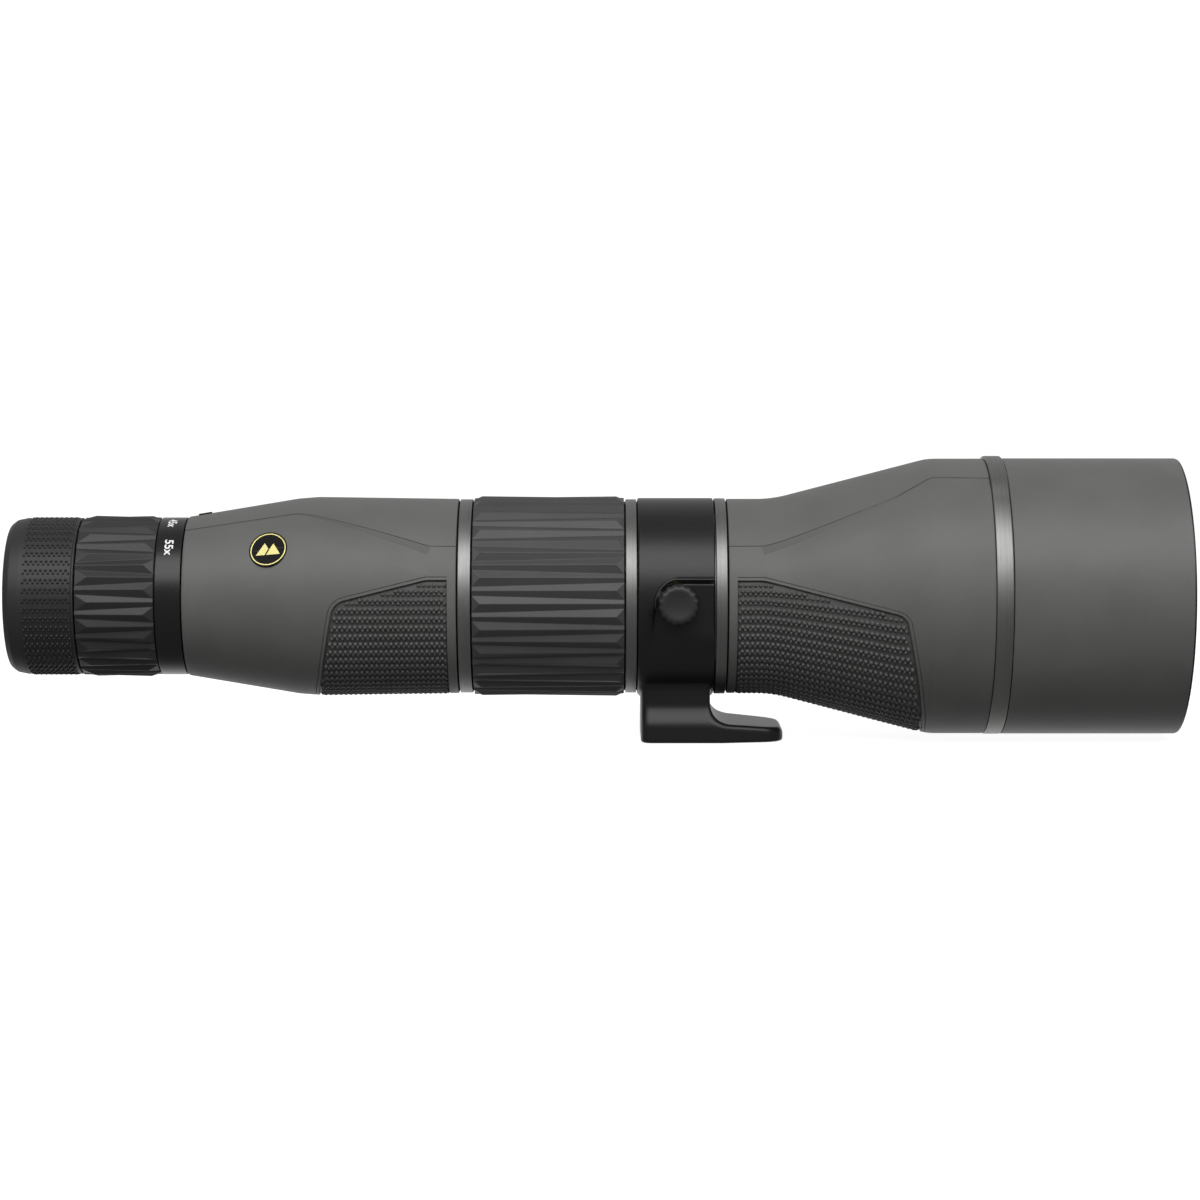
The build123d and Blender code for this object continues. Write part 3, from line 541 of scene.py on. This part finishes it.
def make_painted_flank_shade(name, profile, crease):
    """Strip of darker rubber colour on the steep flank below the edge of the top panel, on both sides:
    painted shade for the shade that falls on the downward-tilted flank.
    """
    ends = [corner[0] for corner in crease if corner[2] > no_flank]
    stations = np.linspace(ends[0], ends[-1], 70)[:, None]
    radius = radius_at(profile, stations)
    edge, width = crease_at(crease, stations)
    across = np.array([[0.05, 0.05, 0.35, 0.7, 1.04, 1.04]])     # shares of the flank's width
    sunk = np.array([[1.0, 0.0, 0.0, 0.0, 0.0, 1.0]]) * (flank_bed + flank_skirt)
    fall = flank_depth(stations, width, crease)
    depth = panel_drop * 0.4 + across * (fall + panel_drop * 0.5) + sunk
    angles = edge - np.degrees(across * width / radius)
    for side, turned in (("left", angles), ("right", 180 - angles)):
        points = on_circle(stations, radius - depth, turned)
        rows, columns = points.shape[:2]
        faces = grid_faces(rows, columns, False, True)
        faces += [row_cap(0, columns), row_cap(rows - 1, columns)]
        add_piece(name + "_" + side, points, faces, "scope_body", "flank_painted_shade", (), 40)


rear_edge = PadOutline(rear_pad, rear_profile, rear_pad[-1][0])
front_edge = PadOutline(front_pad, front_profile, front_pad[0][0])
make_armor("rear_armor_skin", rear_profile, rear_crease, rear_edge, ("rear_armor",))
make_armor("front_armor_skin", front_profile, front_crease, front_edge, ("front_armor",))
# Strips of painted shade on the steep flanks below the top panels
make_painted_flank_shade("rear_flank_painted_shade", rear_profile, rear_crease)
make_painted_flank_shade("front_flank_painted_shade", front_profile, front_crease)

# ---- studded rubber

stud_pitch = 1.81           # along the optical axis
stud_rows = ((0.0, 0.0, 0.84), (0.5, 1 / 3, 1.0))   # shifts along and around, size, of both rows
stud_sides = 8
stud_profile = ((0.94, -0.15), (0.64, 0.84), (0.32, 1.1))   # radius and height of its rings
stud_margin = 0.6           # least distance from a stud's centre to the pad's edge
first_stud = 0.75           # from the pad's low end to its first row
most_rows = 22
pad_top_angle = 22          # above this no pad reaches
pad_skirt = 0.7
base_cell = 0.6
squeeze_from = 31.0         # where the rows of a cone begin to close up, and over what distance
squeeze_length = 46.0


def stud_shells(x, radius, angle, size):
    """Small blunt cones that stand on a surface of revolution."""
    turn = np.radians(angle)[:, None]
    around = np.arange(stud_sides) * 2 * math.pi / stud_sides
    rings = []
    for ring_radius, height in stud_profile:
        wide = ring_radius * size[:, None]
        along = x[:, None] + wide * np.cos(around)
        arc = turn + wide * np.sin(around) / radius[:, None]
        rings.append(on_circle(along, radius[:, None] + height * size[:, None], np.degrees(arc)))
    points = np.stack(rings, 1)
    pattern = grid_faces(len(stud_profile), stud_sides, False, True)
    pattern.append(row_cap(len(stud_profile) - 1, stud_sides))
    per_stud = len(stud_profile) * stud_sides
    faces = []
    for start in range(0, len(x) * per_stud, per_stud):
        faces += [[start + corner for corner in face] for face in pattern]
    return points.reshape(-1, 3), faces


def joined(points, faces, more_points, more_faces):
    shifted = [[corner + len(points) for corner in face] for face in more_faces]
    return np.concatenate([points, more_points]), faces + shifted


def with_skirt(points, faces, depth):
    """Adds a wall that drops toward the axis from every open edge."""
    edges = {(a, b) for face in faces for a, b in zip(face, face[1:] + face[:1])}
    border = [(a, b) for a, b in edges if (b, a) not in edges]
    lower = {}
    extra = []
    for index in sorted({a for edge in border for a in edge}):
        x, y, z = points[index]
        scale = 1 - depth / math.hypot(y, z - AXIS_Z)
        lower[index] = len(points) + len(extra)
        extra.append((x, y * scale, AXIS_Z + (z - AXIS_Z) * scale))
    walls = [[b, a, lower[a], lower[b]] for a, b in sorted(border)]
    return np.concatenate([points, extra]), faces + walls


def pad_base(pad, rim):
    """Smooth base of a pad, its border drawn onto the outline."""
    stations = np.arange(rim[:, 0].min() - base_cell, rim[:, 0].max() + 2 * base_cell, base_cell)
    angles = np.radians(np.arange(-90, pad_top_angle, 1.0))
    radius = pad.radius(stations)[:, None]
    flat = np.stack([np.broadcast_to(stations[:, None], (len(stations), len(angles))),
                     angles * radius], -1)
    distance, nearest = to_polygon(flat, rim)
    snapped = np.where((distance > -0.3 * base_cell)[..., None], nearest, flat)
    at_radius = pad.radius(snapped[..., 0])
    angles = np.degrees(snapped[..., 1] / at_radius)
    near_side = on_circle(snapped[..., 0], at_radius - pad_drop, angles)
    far_side = on_circle(snapped[..., 0], at_radius - pad_drop, 180 - angles)
    points = np.concatenate([near_side[:, :0:-1], far_side], 1)
    keep = np.concatenate([distance[:, :0:-1], distance], 1).reshape(-1) < 0
    faces = np.array(grid_faces(*points.shape[:2]))
    faces = faces[keep[faces].any(1)]
    used, index = np.unique(faces, return_inverse=True)
    return with_skirt(points.reshape(-1, 3)[used], index.reshape(-1, 4).tolist(), pad_skirt)


def pad_studs(pad, rim, row_degrees, squeeze):
    """Studs in staggered rows, as many as fit inside the outline."""
    stations, angles, sizes = [], [], []
    start = rim[:, 0].min() if pad.outward < 0 else rim[:, 0].max()
    count = int(np.ptp(rim[:, 0]) / stud_pitch) + 1
    for shift_along, shift_around, size in stud_rows:
        x = start - pad.outward * ((np.arange(count) + shift_along) * stud_pitch + first_stud)
        scale = 1 - squeeze * np.clip((x - squeeze_from) / squeeze_length, 0, 1)
        rows = np.arange(most_rows) + shift_around
        stations.append(np.repeat(x, len(rows)))
        angles.append(np.outer(scale, rows).ravel() * row_degrees - 90)
        sizes.append(np.full(len(x) * len(rows), size))
    x, angle, size = (np.concatenate(values) for values in (stations, angles, sizes))
    radius = pad.radius(x)
    distance, _ = to_polygon(np.stack([x, np.radians(angle) * radius], -1), rim)
    inside = distance < -stud_margin
    x, angle, radius, size = x[inside], angle[inside], radius[inside] - pad_drop, size[inside]
    mirrored = angle > -89.9
    both = [np.concatenate([values, values[mirrored]]) for values in (x, radius, size)]
    return stud_shells(both[0], both[1], np.concatenate([angle, 180 - angle[mirrored]]), both[2])


def make_pad(name, pad, row_degrees, squeeze, replaced):
    """Studded grip pad that wraps under the body between its two upper edges.

    squeeze narrows the spacing of the rows toward the wide end of a cone.
    """
    rim = pad.polygon(-pad_gap, -pad_end_gap)
    points, faces = joined(*pad_base(pad, rim), *pad_studs(pad, rim, row_degrees, squeeze))
    add_piece(name, points, faces, "scope_body", "grip_rubber", replaced, 60)


make_pad("rear_pad_skin", rear_edge, 5.3, 0.0, ("rear_grip_pad",))
make_pad("front_pad_skin", front_edge, 5.3, 0.07, ("front_grip_pad",))

eyecup_stud_size = 0.62
eyecup_pitch = 1.8          # between studs along the axis
eyecup_rows = 51


def make_eyecup():
    """Soft eyecup: rounded mouth, smooth lip and a band of studs."""
    low, high = x_span("eyecup_rubber")
    radius = outer_radius("eyecup_rubber")
    base = radius - 0.4
    bore = outer_radius("eyecup_sleeve")
    mouth, lip, shoulder = 23.2, 25.9, 27.65
    band_from, band_to = low + 6.6, high - 0.6
    outline = [(low + 1.4, bore, 0), (low + 1.4, mouth, 0.2), (low, mouth, 0.9), (low, lip, 1.4),
               (low + 2.2, shoulder, 2.2), (band_from - 0.6, radius, 1.0),
               (band_from + 1.2, base, 1.0), (band_to - 0.5, base, 0.3),
               (band_to, radius - 0.05, 0.1), (high, radius, 0.3), (high, bore, 0.3)]
    x, angle, size = [], [], []
    for (shift_along, shift_around, row_size), studs_in_row in zip(stud_rows, (10, 9)):
        stations = band_from + 1.0 + (np.arange(studs_in_row) + shift_along) * eyecup_pitch
        rows = (np.arange(eyecup_rows) + shift_around) * 360 / eyecup_rows
        x.append(np.repeat(stations, eyecup_rows))
        angle.append(np.tile(rows, studs_in_row))
        size.append(np.full(len(x[-1]), eyecup_stud_size * row_size))
    x, angle, size = (np.concatenate(values) for values in (x, angle, size))
    points, faces = joined(*turned(outline, 8),
                           *stud_shells(x, np.full(len(x), base), angle, size))
    add_piece("eyecup_skin", points, faces, "eyecup", "eyecup_rubber", ("eyecup_rubber",), 60)


make_eyecup()

# ---- ribbed rings

rib_rounding = 0.2


def ribbed_ring(name, node, crest, valley, ribs, chamfers, body, bore, material):
    """Rubber ring of wedge-shaped ribs; every second rib points the other way.

    A rib has its full height near its wide end, which a three-cornered facet closes, and half
    of it at the narrow end. The valleys between them lean to alternate sides.
    """
    low, high = x_span(node)
    length = high - low
    step = 360.0 / ribs
    narrow = (crest + valley) / 2
    leans = (0.63, 0.31)
    stations = (low, low + chamfers[0], high - chamfers[1], high)
    heights = []
    for wide_end, end_station, chamfer in ((low, 0, chamfers[0]), (high, -1, chamfers[1])):
        fall = (crest - narrow) / (length - chamfer)
        line = [crest - fall * (abs(x - wide_end) - chamfer) for x in stations]
        line[end_station] = valley
        heights.append(line)
    points = []
    for index, x in enumerate(stations):
        along = (x - low) / length
        row = []
        for rib in range(ribs):
            first, last = leans if rib % 2 == 0 else leans[::-1]
            lean = first + (last - first) * along
            row.append(on_circle(x, heights[rib % 2][index], rib * step))
            row.append(on_circle(x, valley, (rib + lean) * step))
        points.append(row)
    for x in (high, low):
        points.append([on_circle(x, bore, half * step / 2) for half in range(2 * ribs)])
    points = np.array(points)
    rows, columns = points.shape[:2]
    faces = []
    for a, b, c, d in grid_faces(rows, columns, True, True):
        row, crest_first = a // columns, a % columns % 2 == 0
        if row not in (0, 2):
            faces.append([a, b, c, d])
        elif (row == 0) == crest_first:
            faces += [[a, b, d], [b, c, d]]
        else:
            faces += [[a, b, c], [a, c, d]]
    piece = add_piece(name, points, faces, body, material, (node,), 180)
    edge = piece.modifiers.new("edge", "BEVEL")
    edge.width = rib_rounding * MM
    edge.segments = 3
    edge.limit_method = "ANGLE"
    edge.angle_limit = math.radians(9)
    edge.harden_normals = True


ribbed_ring("focus_grip_skin", "focus_grip", 36.35, 35.1, 48, (2.9, 2.9), "focus_ring",
            outer_radius("focus_ring_core"), "focus_rubber")
ribbed_ring("zoom_grip_skin", "zoom_grip", 29.25, 28.0, 40, (4.7, 3.8), "zoom_ring",
            outer_radius("zoom_ring_core"), "zoom_rubber")

# ---- turned metal parts

ring_inset = 0.12           # each end, which widens the dark joint line
for node in ("accent_ring_rear", "accent_ring_middle", "accent_ring_front"):
    low, high = x_span(node)
    lathe(node + "_skin",
          ring_outline(low + ring_inset, high - ring_inset, tube_radius, outer_radius(node), 0.25),
          "scope_body", "satin_silver", (node,))

name_bore = 46.9
raised_height = 0.8
raised_half_angle = 30.0
raised_fade = 12.0


def raised_top(angles):
    """Low plateau over the top of the name ring."""
    away = np.abs(angles - 90)
    fall = smooth_step(away, raised_half_angle, raised_half_angle + raised_fade)
    return raised_height * (1 - fall)


lathe("name_ring_skin",
      ring_outline(*x_span("name_ring"), name_bore, outer_radius("name_ring"), 0.55),
      "scope_body", "satin_silver", ("name_ring",), swell=raised_top)

hood_low, hood_high = x_span("sunshade_tube")
hood_radius = 50.0
hood_bore = 47.8
glide_bore = 46.95          # of its first few millimetres, which run on the glide ring
glide_end = hood_low + 4
lip_from, lip_to = hood_high - 0.2, hood_high + 0.5
lathe("sunshade_lip",
      [(lip_from, hood_bore, 0), (lip_from, hood_radius - 0.05, 0),
       (lip_to, hood_radius - 0.2, 0.3), (lip_to, hood_bore, 0.2)],
      "sunshade", "black_coat", slot="hood_paint")
lathe("sunshade_skin",
      [(hood_low, glide_bore, 0), (hood_low, hood_radius, 0.4), (lip_from, hood_radius, 0),
       (lip_from, hood_bore, 0), (glide_end, hood_bore, 0), (glide_end, glide_bore, 0)],
      "sunshade", "hood_paint", ("sunshade_tube",), steps=6)

# Dark seals that close most of the joint lines between the outer parts
joints = (("rear_armor", "accent_ring_rear"), ("accent_ring_rear", "focus_grip"),
          ("focus_grip", "accent_ring_middle"), ("accent_ring_middle", "tripod_collar"),
          ("accent_ring_front", "front_armor"))
seal_radius = 34.3
seal_play = 0.02
for rear_node, front_node in joints:
    low, high = x_span(rear_node)[1] + seal_play, x_span(front_node)[0] - seal_play
    lathe(rear_node + "_seal", ring_outline(low, high, tube_radius, seal_radius, 0),
          "scope_body", "black_flock", slot="bearing_plastic")

scale_bore = 26.5
scale_radius = outer_radius("zoom_scale_ring")
lathe("zoom_scale_skin", ring_outline(*x_span("zoom_scale_ring"), scale_bore, scale_radius, 0.35),
      "zoom_ring", "gloss_black", ("zoom_scale_ring",))

# ---- zoom numbers

label_height = 2.95
letter_share = 0.7          # of the font's size that a capital letter takes up
label_spread = 1.1          # letters are this much wider than the font's own
label_x = -181.4
labels = (("55x", 47.5), ("45x", 17.9), ("36x", -12.4), ("30x", -42.4), ("27x", -72.4))


def wrapped_text(text, top_angle):
    """Flat letter outlines laid on the scale ring, tops toward the objective."""
    curve = bpy.data.curves.new("label", "FONT")
    curve.body = text
    curve.align_x = curve.align_y = "CENTER"
    curve.size = label_height / letter_share
    curve.offset = 0.08
    holder = placed("label", curve)
    bpy.context.view_layer.update()
    flat = bpy.data.meshes.new_from_object(holder)
    bpy.data.objects.remove(holder)
    bpy.data.curves.remove(curve)
    vertices = np.array([v.co[:2] for v in flat.vertices])
    faces = [list(p.vertices) for p in flat.polygons]
    bpy.data.meshes.remove(flat)
    angle = 90 - top_angle - np.degrees(label_spread * vertices[:, 0] / scale_radius)
    return on_circle(label_x + vertices[:, 1], scale_radius + 0.05, angle), faces


def make_numbers():
    points, faces = np.empty((0, 3)), []
    for text, top_angle in labels:
        points, faces = joined(points, faces, *wrapped_text(text, top_angle))
    add_piece("zoom_numbers", points, faces, "zoom_ring", "label_white")


make_numbers()

# ---- tripod collar


def smooth_union(a, b, k):
    h = np.clip(0.5 + 0.5 * (b - a) / k, 0, 1)
    return b + (a - b) * h - k * h * (1 - h)


def smooth_cut(a, b, k):
    """Removes b from a with a small rounding along the new edge."""
    return -smooth_union(-a, b, k)


def rounded_box(u, v, half_u, half_v, radius):
    qu = np.abs(u) - half_u + radius
    qv = np.abs(v) - half_v + radius
    outside = np.hypot(np.maximum(qu, 0), np.maximum(qv, 0))
    return outside + np.minimum(np.maximum(qu, qv), 0) - radius


collar_low, collar_high = box_mm("tripod_collar")
ring_half = -collar_low.x
ring_radius = 35.6
ring_bore = 31.6
foot_blend = 2.0            # rounding between the ring and the foot, and round the foot's plan
neck_middle, neck_half = -0.3, 12.7     # along X
toe_middle, toe_half = 18.6, 20.8
toe_slope = 0.085           # how fast the toe's top falls toward its tip
plan_middle, plan_half = 13.2, 26.2     # of the foot seen from below
plan_half_width = 18.4
knob_centre_x = sum(x_span("lock_knob")) / 2
pocket_floor = -33.4
pocket_radius = 7.85
pocket_top = 8.4
pocket_bottom = -22.0
rim_rounding = 0.7          # of the pocket
rim_softening = 4.0         # added to it down the pocket's rear side
groove_floor = -32.2        # bottom of the narrow groove along the pocket's upper edge
groove_fade = 1.8           # how much shallower it is beside the middle of the knob
groove_half_width = 0.6
groove_end = 0.5            # height at which it stops


def foot_field(x, y, z):
    """Signed distance to the foot: a neck and a toe seen from the side, cut to a tapering plan."""
    neck = rounded_box(x - neck_middle, z + 40.0, neck_half, 14.0, 0.5)
    toe_top = -44.3 - np.clip(x - 12.4, 0, 30) * toe_slope
    toe_bottom = -60.0
    toe = rounded_box(x - toe_middle, z - (toe_top + toe_bottom) / 2, toe_half,
                      (toe_top - toe_bottom) / 2, 2.6)
    side = smooth_union(neck, toe, 8.0)
    flare = 2.5 * smooth_step(-z, 37.5, 46.0)
    taper = 4.4 * np.clip((x - 16.4) / 21.7, 0, 1)
    corner = np.where(x < plan_middle, 5.0, 7.5)
    plan = rounded_box(x - plan_middle, y, plan_half, plan_half_width + flare - taper, corner)
    foot = smooth_cut(side, -plan, foot_blend)
    foot = smooth_cut(foot, z + AXIS_Z, 1.0)
    return np.maximum(foot, z)


def pocket_field(x, z):
    """Signed distance to the pocket's outline: a circle, open to the front and downward."""
    circle = np.hypot(x - knob_centre_x, z) - pocket_radius
    front = np.maximum(np.maximum(knob_centre_x - x, z - pocket_top), pocket_bottom - z)
    below = np.maximum(np.maximum(knob_centre_x - pocket_radius - x, z), pocket_bottom - z)
    return np.minimum(np.minimum(circle, front), below)


def collar_field(p):
    """Signed distance to the collar and its foot, in millimetres from the optical axis."""
    x, y, z = p[..., 0], p[..., 1], p[..., 2]
    r = np.hypot(y, z)
    ring = rounded_box(x, r, ring_half, ring_radius, 0.6)
    body = smooth_union(ring, foot_field(x, y, z), foot_blend)
    outline = pocket_field(x, z)
    fading = smooth_step(-z, 0, 5) * smooth_step(knob_centre_x - x, -2, 4)
    rounding = rim_rounding + rim_softening * fading
    body = smooth_cut(body, np.maximum(outline, y - pocket_floor), rounding)
    floor = groove_floor - groove_fade * smooth_step(-z, -5.0, -0.5)
    groove = np.maximum(np.abs(outline + groove_half_width) - groove_half_width, y - floor)
    body = smooth_cut(body, np.maximum(groove, groove_end - z), 0.8)
    return np.maximum(body, ring_bore - r)


def at_corner(grid, corner):
    """The values of a grid at one corner of each of its cells."""
    return grid[tuple(slice(start, start + size - 1) for start, size in zip(corner, grid.shape))]


def edge_crossings(grid, value):
    """Sum and number of the points where the zero surface cuts each cell's edges."""
    total, count = 0, 0
    for a in np.ndindex(2, 2, 2):
        for axis in range(3):
            if a[axis]:
                continue
            b = tuple(1 if i == axis else o for i, o in enumerate(a))
            va, vb = at_corner(value, a), at_corner(value, b)
            crossing = (va < 0) != (vb < 0)
            t = np.where(crossing, va / np.where(crossing, va - vb, 1), 0)
            point = at_corner(grid, a) + t[..., None] * (at_corner(grid, b) - at_corner(grid, a))
            total = total + point * crossing[..., None]
            count = count + crossing
    return total, count


def crossing_quads(inside, index):
    """A quad around every grid edge that the surface crosses, facing outward."""
    faces = []
    for axis in range(3):
        other = [i for i in range(3) if i != axis]
        where = np.argwhere(np.diff(inside, axis=axis))
        where = where[(where[:, other] > 0).all(1) & (where < index.shape).all(1)]
        quad = []
        for back in ((0, 0), (1, 0), (1, 1), (0, 1)):
            cell = where.copy()
            cell[:, other] -= back
            quad.append(index[tuple(cell.T)])
        quad = np.stack(quad, -1)
        backward = inside[tuple(where.T)] == (axis == 1)
        quad[backward] = quad[backward][:, ::-1]
        faces.append(quad)
    return np.concatenate(faces).tolist()


def drawn_onto(field, vertices, reach):
    """Vertices moved onto the zero surface of a field by three Newton steps."""
    step = 0.02
    for _ in range(3):
        here = field(vertices)
        slope = np.stack([(field(vertices + probe) - field(vertices - probe)) / (2 * step)
                          for probe in np.eye(3) * step], -1)
        length = np.maximum((slope ** 2).sum(-1), 0.25)
        move = -(here / length)[:, None] * slope
        vertices = vertices + np.clip(move, -reach, reach)
    return vertices


def surface_from_field(field, low, high, cell):
    """Closed quad surface where the field is zero."""
    axes = [np.arange(a - 2 * cell, b + 2 * cell, cell) for a, b in zip(low, high)]
    grid = np.stack(np.meshgrid(*axes, indexing="ij"), -1)
    value = field(grid)
    total, count = edge_crossings(grid, value)
    active = count > 0
    index = np.full(count.shape, -1)
    index[active] = np.arange(active.sum())
    vertices = drawn_onto(field, total[active] / count[active][:, None], cell / 2)
    return vertices, crossing_quads(value < 0, index)


def make_collar():
    cell = 0.5
    axis = np.array([0, 0, AXIS_Z])
    points, faces = surface_from_field(collar_field, np.array(collar_low) - axis,
                                       np.array(collar_high) - axis, cell)
    add_piece("collar_skin", points + axis, faces, "tripod_collar", "black_coat",
              ("tripod_collar",), 50)


make_collar()

bead_radius = 0.22
bead_sides = 10


def make_pocket_bead():
    """Thin bead along the rim of the knob's pocket, over its top and down its rear side; its coat is
    lighter than the collar's black as a painted highlight.
    """
    reach = pocket_radius + 0.25
    steeper = pocket_top / pocket_radius
    path = []
    for turn in np.radians(np.linspace(200, 90, 40)):
        rise = steeper ** math.sin(turn) * reach * math.sin(turn)
        path.append((knob_centre_x + reach * math.cos(turn), rise))
    path += [(x, path[-1][1]) for x in np.linspace(knob_centre_x + 1.0, ring_half - 0.3, 12)]
    rings = []
    for index, (x, z) in enumerate(path):
        before, after = path[max(index - 1, 0)], path[min(index + 1, len(path) - 1)]
        heading = math.atan2(after[1] - before[1], after[0] - before[0])
        width = bead_radius * min(1.0, 0.15 + index / 14)
        ring = []
        for turn in np.radians(np.arange(bead_sides) * 360 / bead_sides):
            aside = width * math.cos(turn)
            at_x, at_z = x - aside * math.sin(heading), z + aside * math.cos(heading)
            lift = math.sqrt(ring_radius ** 2 - at_z ** 2) + width * math.sin(turn)
            ring.append((at_x, -lift, at_z + AXIS_Z))
        rings.append(ring)
    faces = grid_faces(len(rings), bead_sides, False, True)
    faces += [row_cap(0, bead_sides)[::-1], row_cap(len(rings) - 1, bead_sides)]
    add_piece("collar_pocket_bead", rings, faces, "tripod_collar", "bead_highlight_coat", (), 60)


make_pocket_bead()

knob_radius = 7.15
knob_scallops = 16
scallop_depth = 0.45


def make_knob():
    """Scalloped lock knob with a bevelled, slightly dished face."""
    low, high = box_mm("lock_knob")
    columns = knob_scallops * 12
    turn = np.arange(columns) * 2 * math.pi / columns
    wave = (np.cos(turn * knob_scallops) * 0.5 + 0.5) ** 0.6
    front, back = low.y, high.y
    # Station along Y, distance inside the radius, share of the scallops' depth
    profile = [(back, knob_radius - 3.1, 0), (back, 0.3, 1), (back - 0.3, 0, 1),
               (front + 1.1, 0, 1), (front + 0.5, 0.35, 0.9), (front + 0.15, 0.9, 0.5),
               (front, 1.4, 0.15), (front, 2.4, 0), (front + 0.25, 3.2, 0),
               (front + 0.3, knob_radius - 0.4, 0)]
    rows = []
    for y, inset, share in profile:
        ring = knob_radius - inset - scallop_depth * share * wave
        rows.append(np.stack([knob_centre_x + ring * np.cos(turn), np.full(columns, y),
                              AXIS_Z + ring * np.sin(turn)], -1))
    faces = grid_faces(len(profile), columns, False, True)
    faces.append(row_cap(len(profile) - 1, columns))
    add_piece("lock_knob_skin", rows, faces, "lock_knob", "knob_coat", ("lock_knob",), 40)


make_knob()

# ---- badge emblem

badge_centre = sum(box_mm("badge_disc"), Vector()) / 2
badge_elevation = math.radians(33.7)
taper = math.radians(9.46)
badge_side = Vector((0, -math.cos(badge_elevation), math.sin(badge_elevation)))
badge_out = badge_side * math.cos(taper) - Vector((math.sin(taper), 0, 0))
badge_right = badge_side * math.sin(taper) + Vector((math.cos(taper), 0, 0))
badge_up = badge_out.cross(badge_right)
badge_face = 0.75           # from the middle of the disc to its face
peaks = [[(-4.4, -2.2), (-1.3, 2.6), (0.1, 0.3), (-1.2, -2.2)],
         [(-0.6, -2.2), (1.0, 0.9), (1.9, 2.2), (4.4, -2.2)]]


def on_badge(u, v, height):
    """Point on the badge: along it, up it and out of its face."""
    return badge_centre + badge_right * u + badge_up * v + badge_out * (badge_face + height)


def make_badge_ring(name, inner, outer, low, top, material, replaced=()):
    """Flat ring with rounded edges, coaxial with the badge."""
    outline = rounded([(inner, low, 0), (inner, top, 0.1), (outer, top, 0.1), (outer, low, 0)], 3)
    turns = np.arange(96) * 2 * math.pi / 96
    points = [on_badge(radius * math.cos(turn), radius * math.sin(turn), height)
              for radius, height in outline for turn in turns]
    faces = grid_faces(len(outline), len(turns), True, True)
    add_piece(name, points, faces, "scope_body", material, replaced)


def make_emblem():
    """Two raised peaks."""
    vertices, faces = [], []
    for peak in peaks:
        base, count = len(vertices), len(peak)
        vertices += [on_badge(u, v, height) for height in (-0.04, 0.06) for u, v in peak]
        faces.append([base + count + i for i in range(count)])
        for i in range(count):
            j = (i + 1) % count
            faces.append([base + i, base + j, base + count + j, base + count + i])
    add_piece("badge_emblem", vertices, faces, "scope_body", "gold")


rim_radius = 6.5
make_badge_ring("badge_rim_skin", 5.95, rim_radius, -0.5, 0.18, "gold", ("badge_rim",))
make_badge_ring("badge_border", rim_radius, 6.95, -0.9, 0.1, "badge_enamel")
make_emblem()

# ---- stage, lights and camera

coated("paper", 0.4, 0.9, specular=0.1, grain=900, grain_depth=0.01, mottle=0.004)
glow("paper", 0.93)

# In metres
floor_radius = 1.7
floor_gap = 0.0003          # below the object
wall_curve = 0.6
wall_top = 2.2


def make_stage():
    """Round pale floor that curves up into a wall all round."""
    outline = [(0.02, 0.0), (0.5, 0.0)]
    for bend in np.linspace(0, math.pi / 2, 14):
        outline.append((floor_radius + wall_curve * math.sin(bend),
                        wall_curve * (1 - math.cos(bend))))
    outline.append((floor_radius + wall_curve, wall_top))
    turns = np.radians(np.arange(96) * 360 / 96)
    points = [(r * math.cos(t), r * math.sin(t), z - floor_gap) for r, z in outline for t in turns]
    faces = grid_faces(len(outline), len(turns), False, True) + [row_cap(0, len(turns))]
    stage = placed("floor", smooth_mesh("floor", points, faces, "paper"))
    stage.visible_diffuse = stage.visible_glossy = False


make_stage()


def make_world(below=0.16, above=0.24, behind=0.8):
    """Dim room that is bright behind the object, most of all low down, and a little overhead."""
    world = bpy.data.worlds.new("studio")
    world.use_nodes = True
    tree = world.node_tree
    direction = new_node(tree, "TexCoord", {})["Generated"]
    split = new_node(tree, "SeparateXYZ", {0: direction})
    back = map_range(tree, split["Y"], 0.0, behind - above, 0.35, 0.95)
    high = map_range(tree, split["Z"], below, above, -0.2, 0.6)
    low_share = map_range(tree, split["Z"], 2.1, 0.4, -0.5, 0.5)
    total = combined(tree, combined(tree, back, low_share, "MULTIPLY"), high)
    fill(tree, tree.nodes["Background"], {"Strength": total, "Color": (1, 1, 1, 1)})
    bpy.context.scene.world = world


make_world()

target = Vector((-27.2, 0, AXIS_Z - 1.5)) * MM


def softbox(name, azimuth, elevation, distance, size_x, size_y, radiance):
    """Soft panel that faces the object; azimuth 0 is the -Y side and 180 the back."""
    turn, rise = math.radians(azimuth), math.radians(elevation)
    away = Vector((math.sin(turn) * math.cos(rise), -math.cos(turn) * math.cos(rise), math.sin(rise)))
    light = bpy.data.lights.new(name, "AREA")
    light.shape = "RECTANGLE"
    light.size, light.size_y = size_x, size_y
    light.energy = radiance * math.pi * size_x * size_y
    lamp = placed(name, light)
    lamp.location = target + away * distance
    lamp.rotation_euler = away.to_track_quat("Z", "Y").to_euler()


softbox("key", 0, 46, 1.4, 3.0, 1.0, 2.55)
softbox("back", 180, 50, 1.4, 2.4, 0.7, 0.12)

camera_distance = 1273 * MM
camera_elevation = math.radians(4.7)
camera_data = bpy.data.cameras.new("camera")
camera_data.lens = 105
camera_data.sensor_width = 36
camera = placed("camera", camera_data)
camera.location = target + Vector((0, -math.cos(camera_elevation),
                                   math.sin(camera_elevation))) * camera_distance
camera.rotation_euler = (target - camera.location).to_track_quat("-Z", "Y").to_euler()
bpy.context.scene.camera = camera
bpy.context.scene.view_settings.view_transform = "Standard"
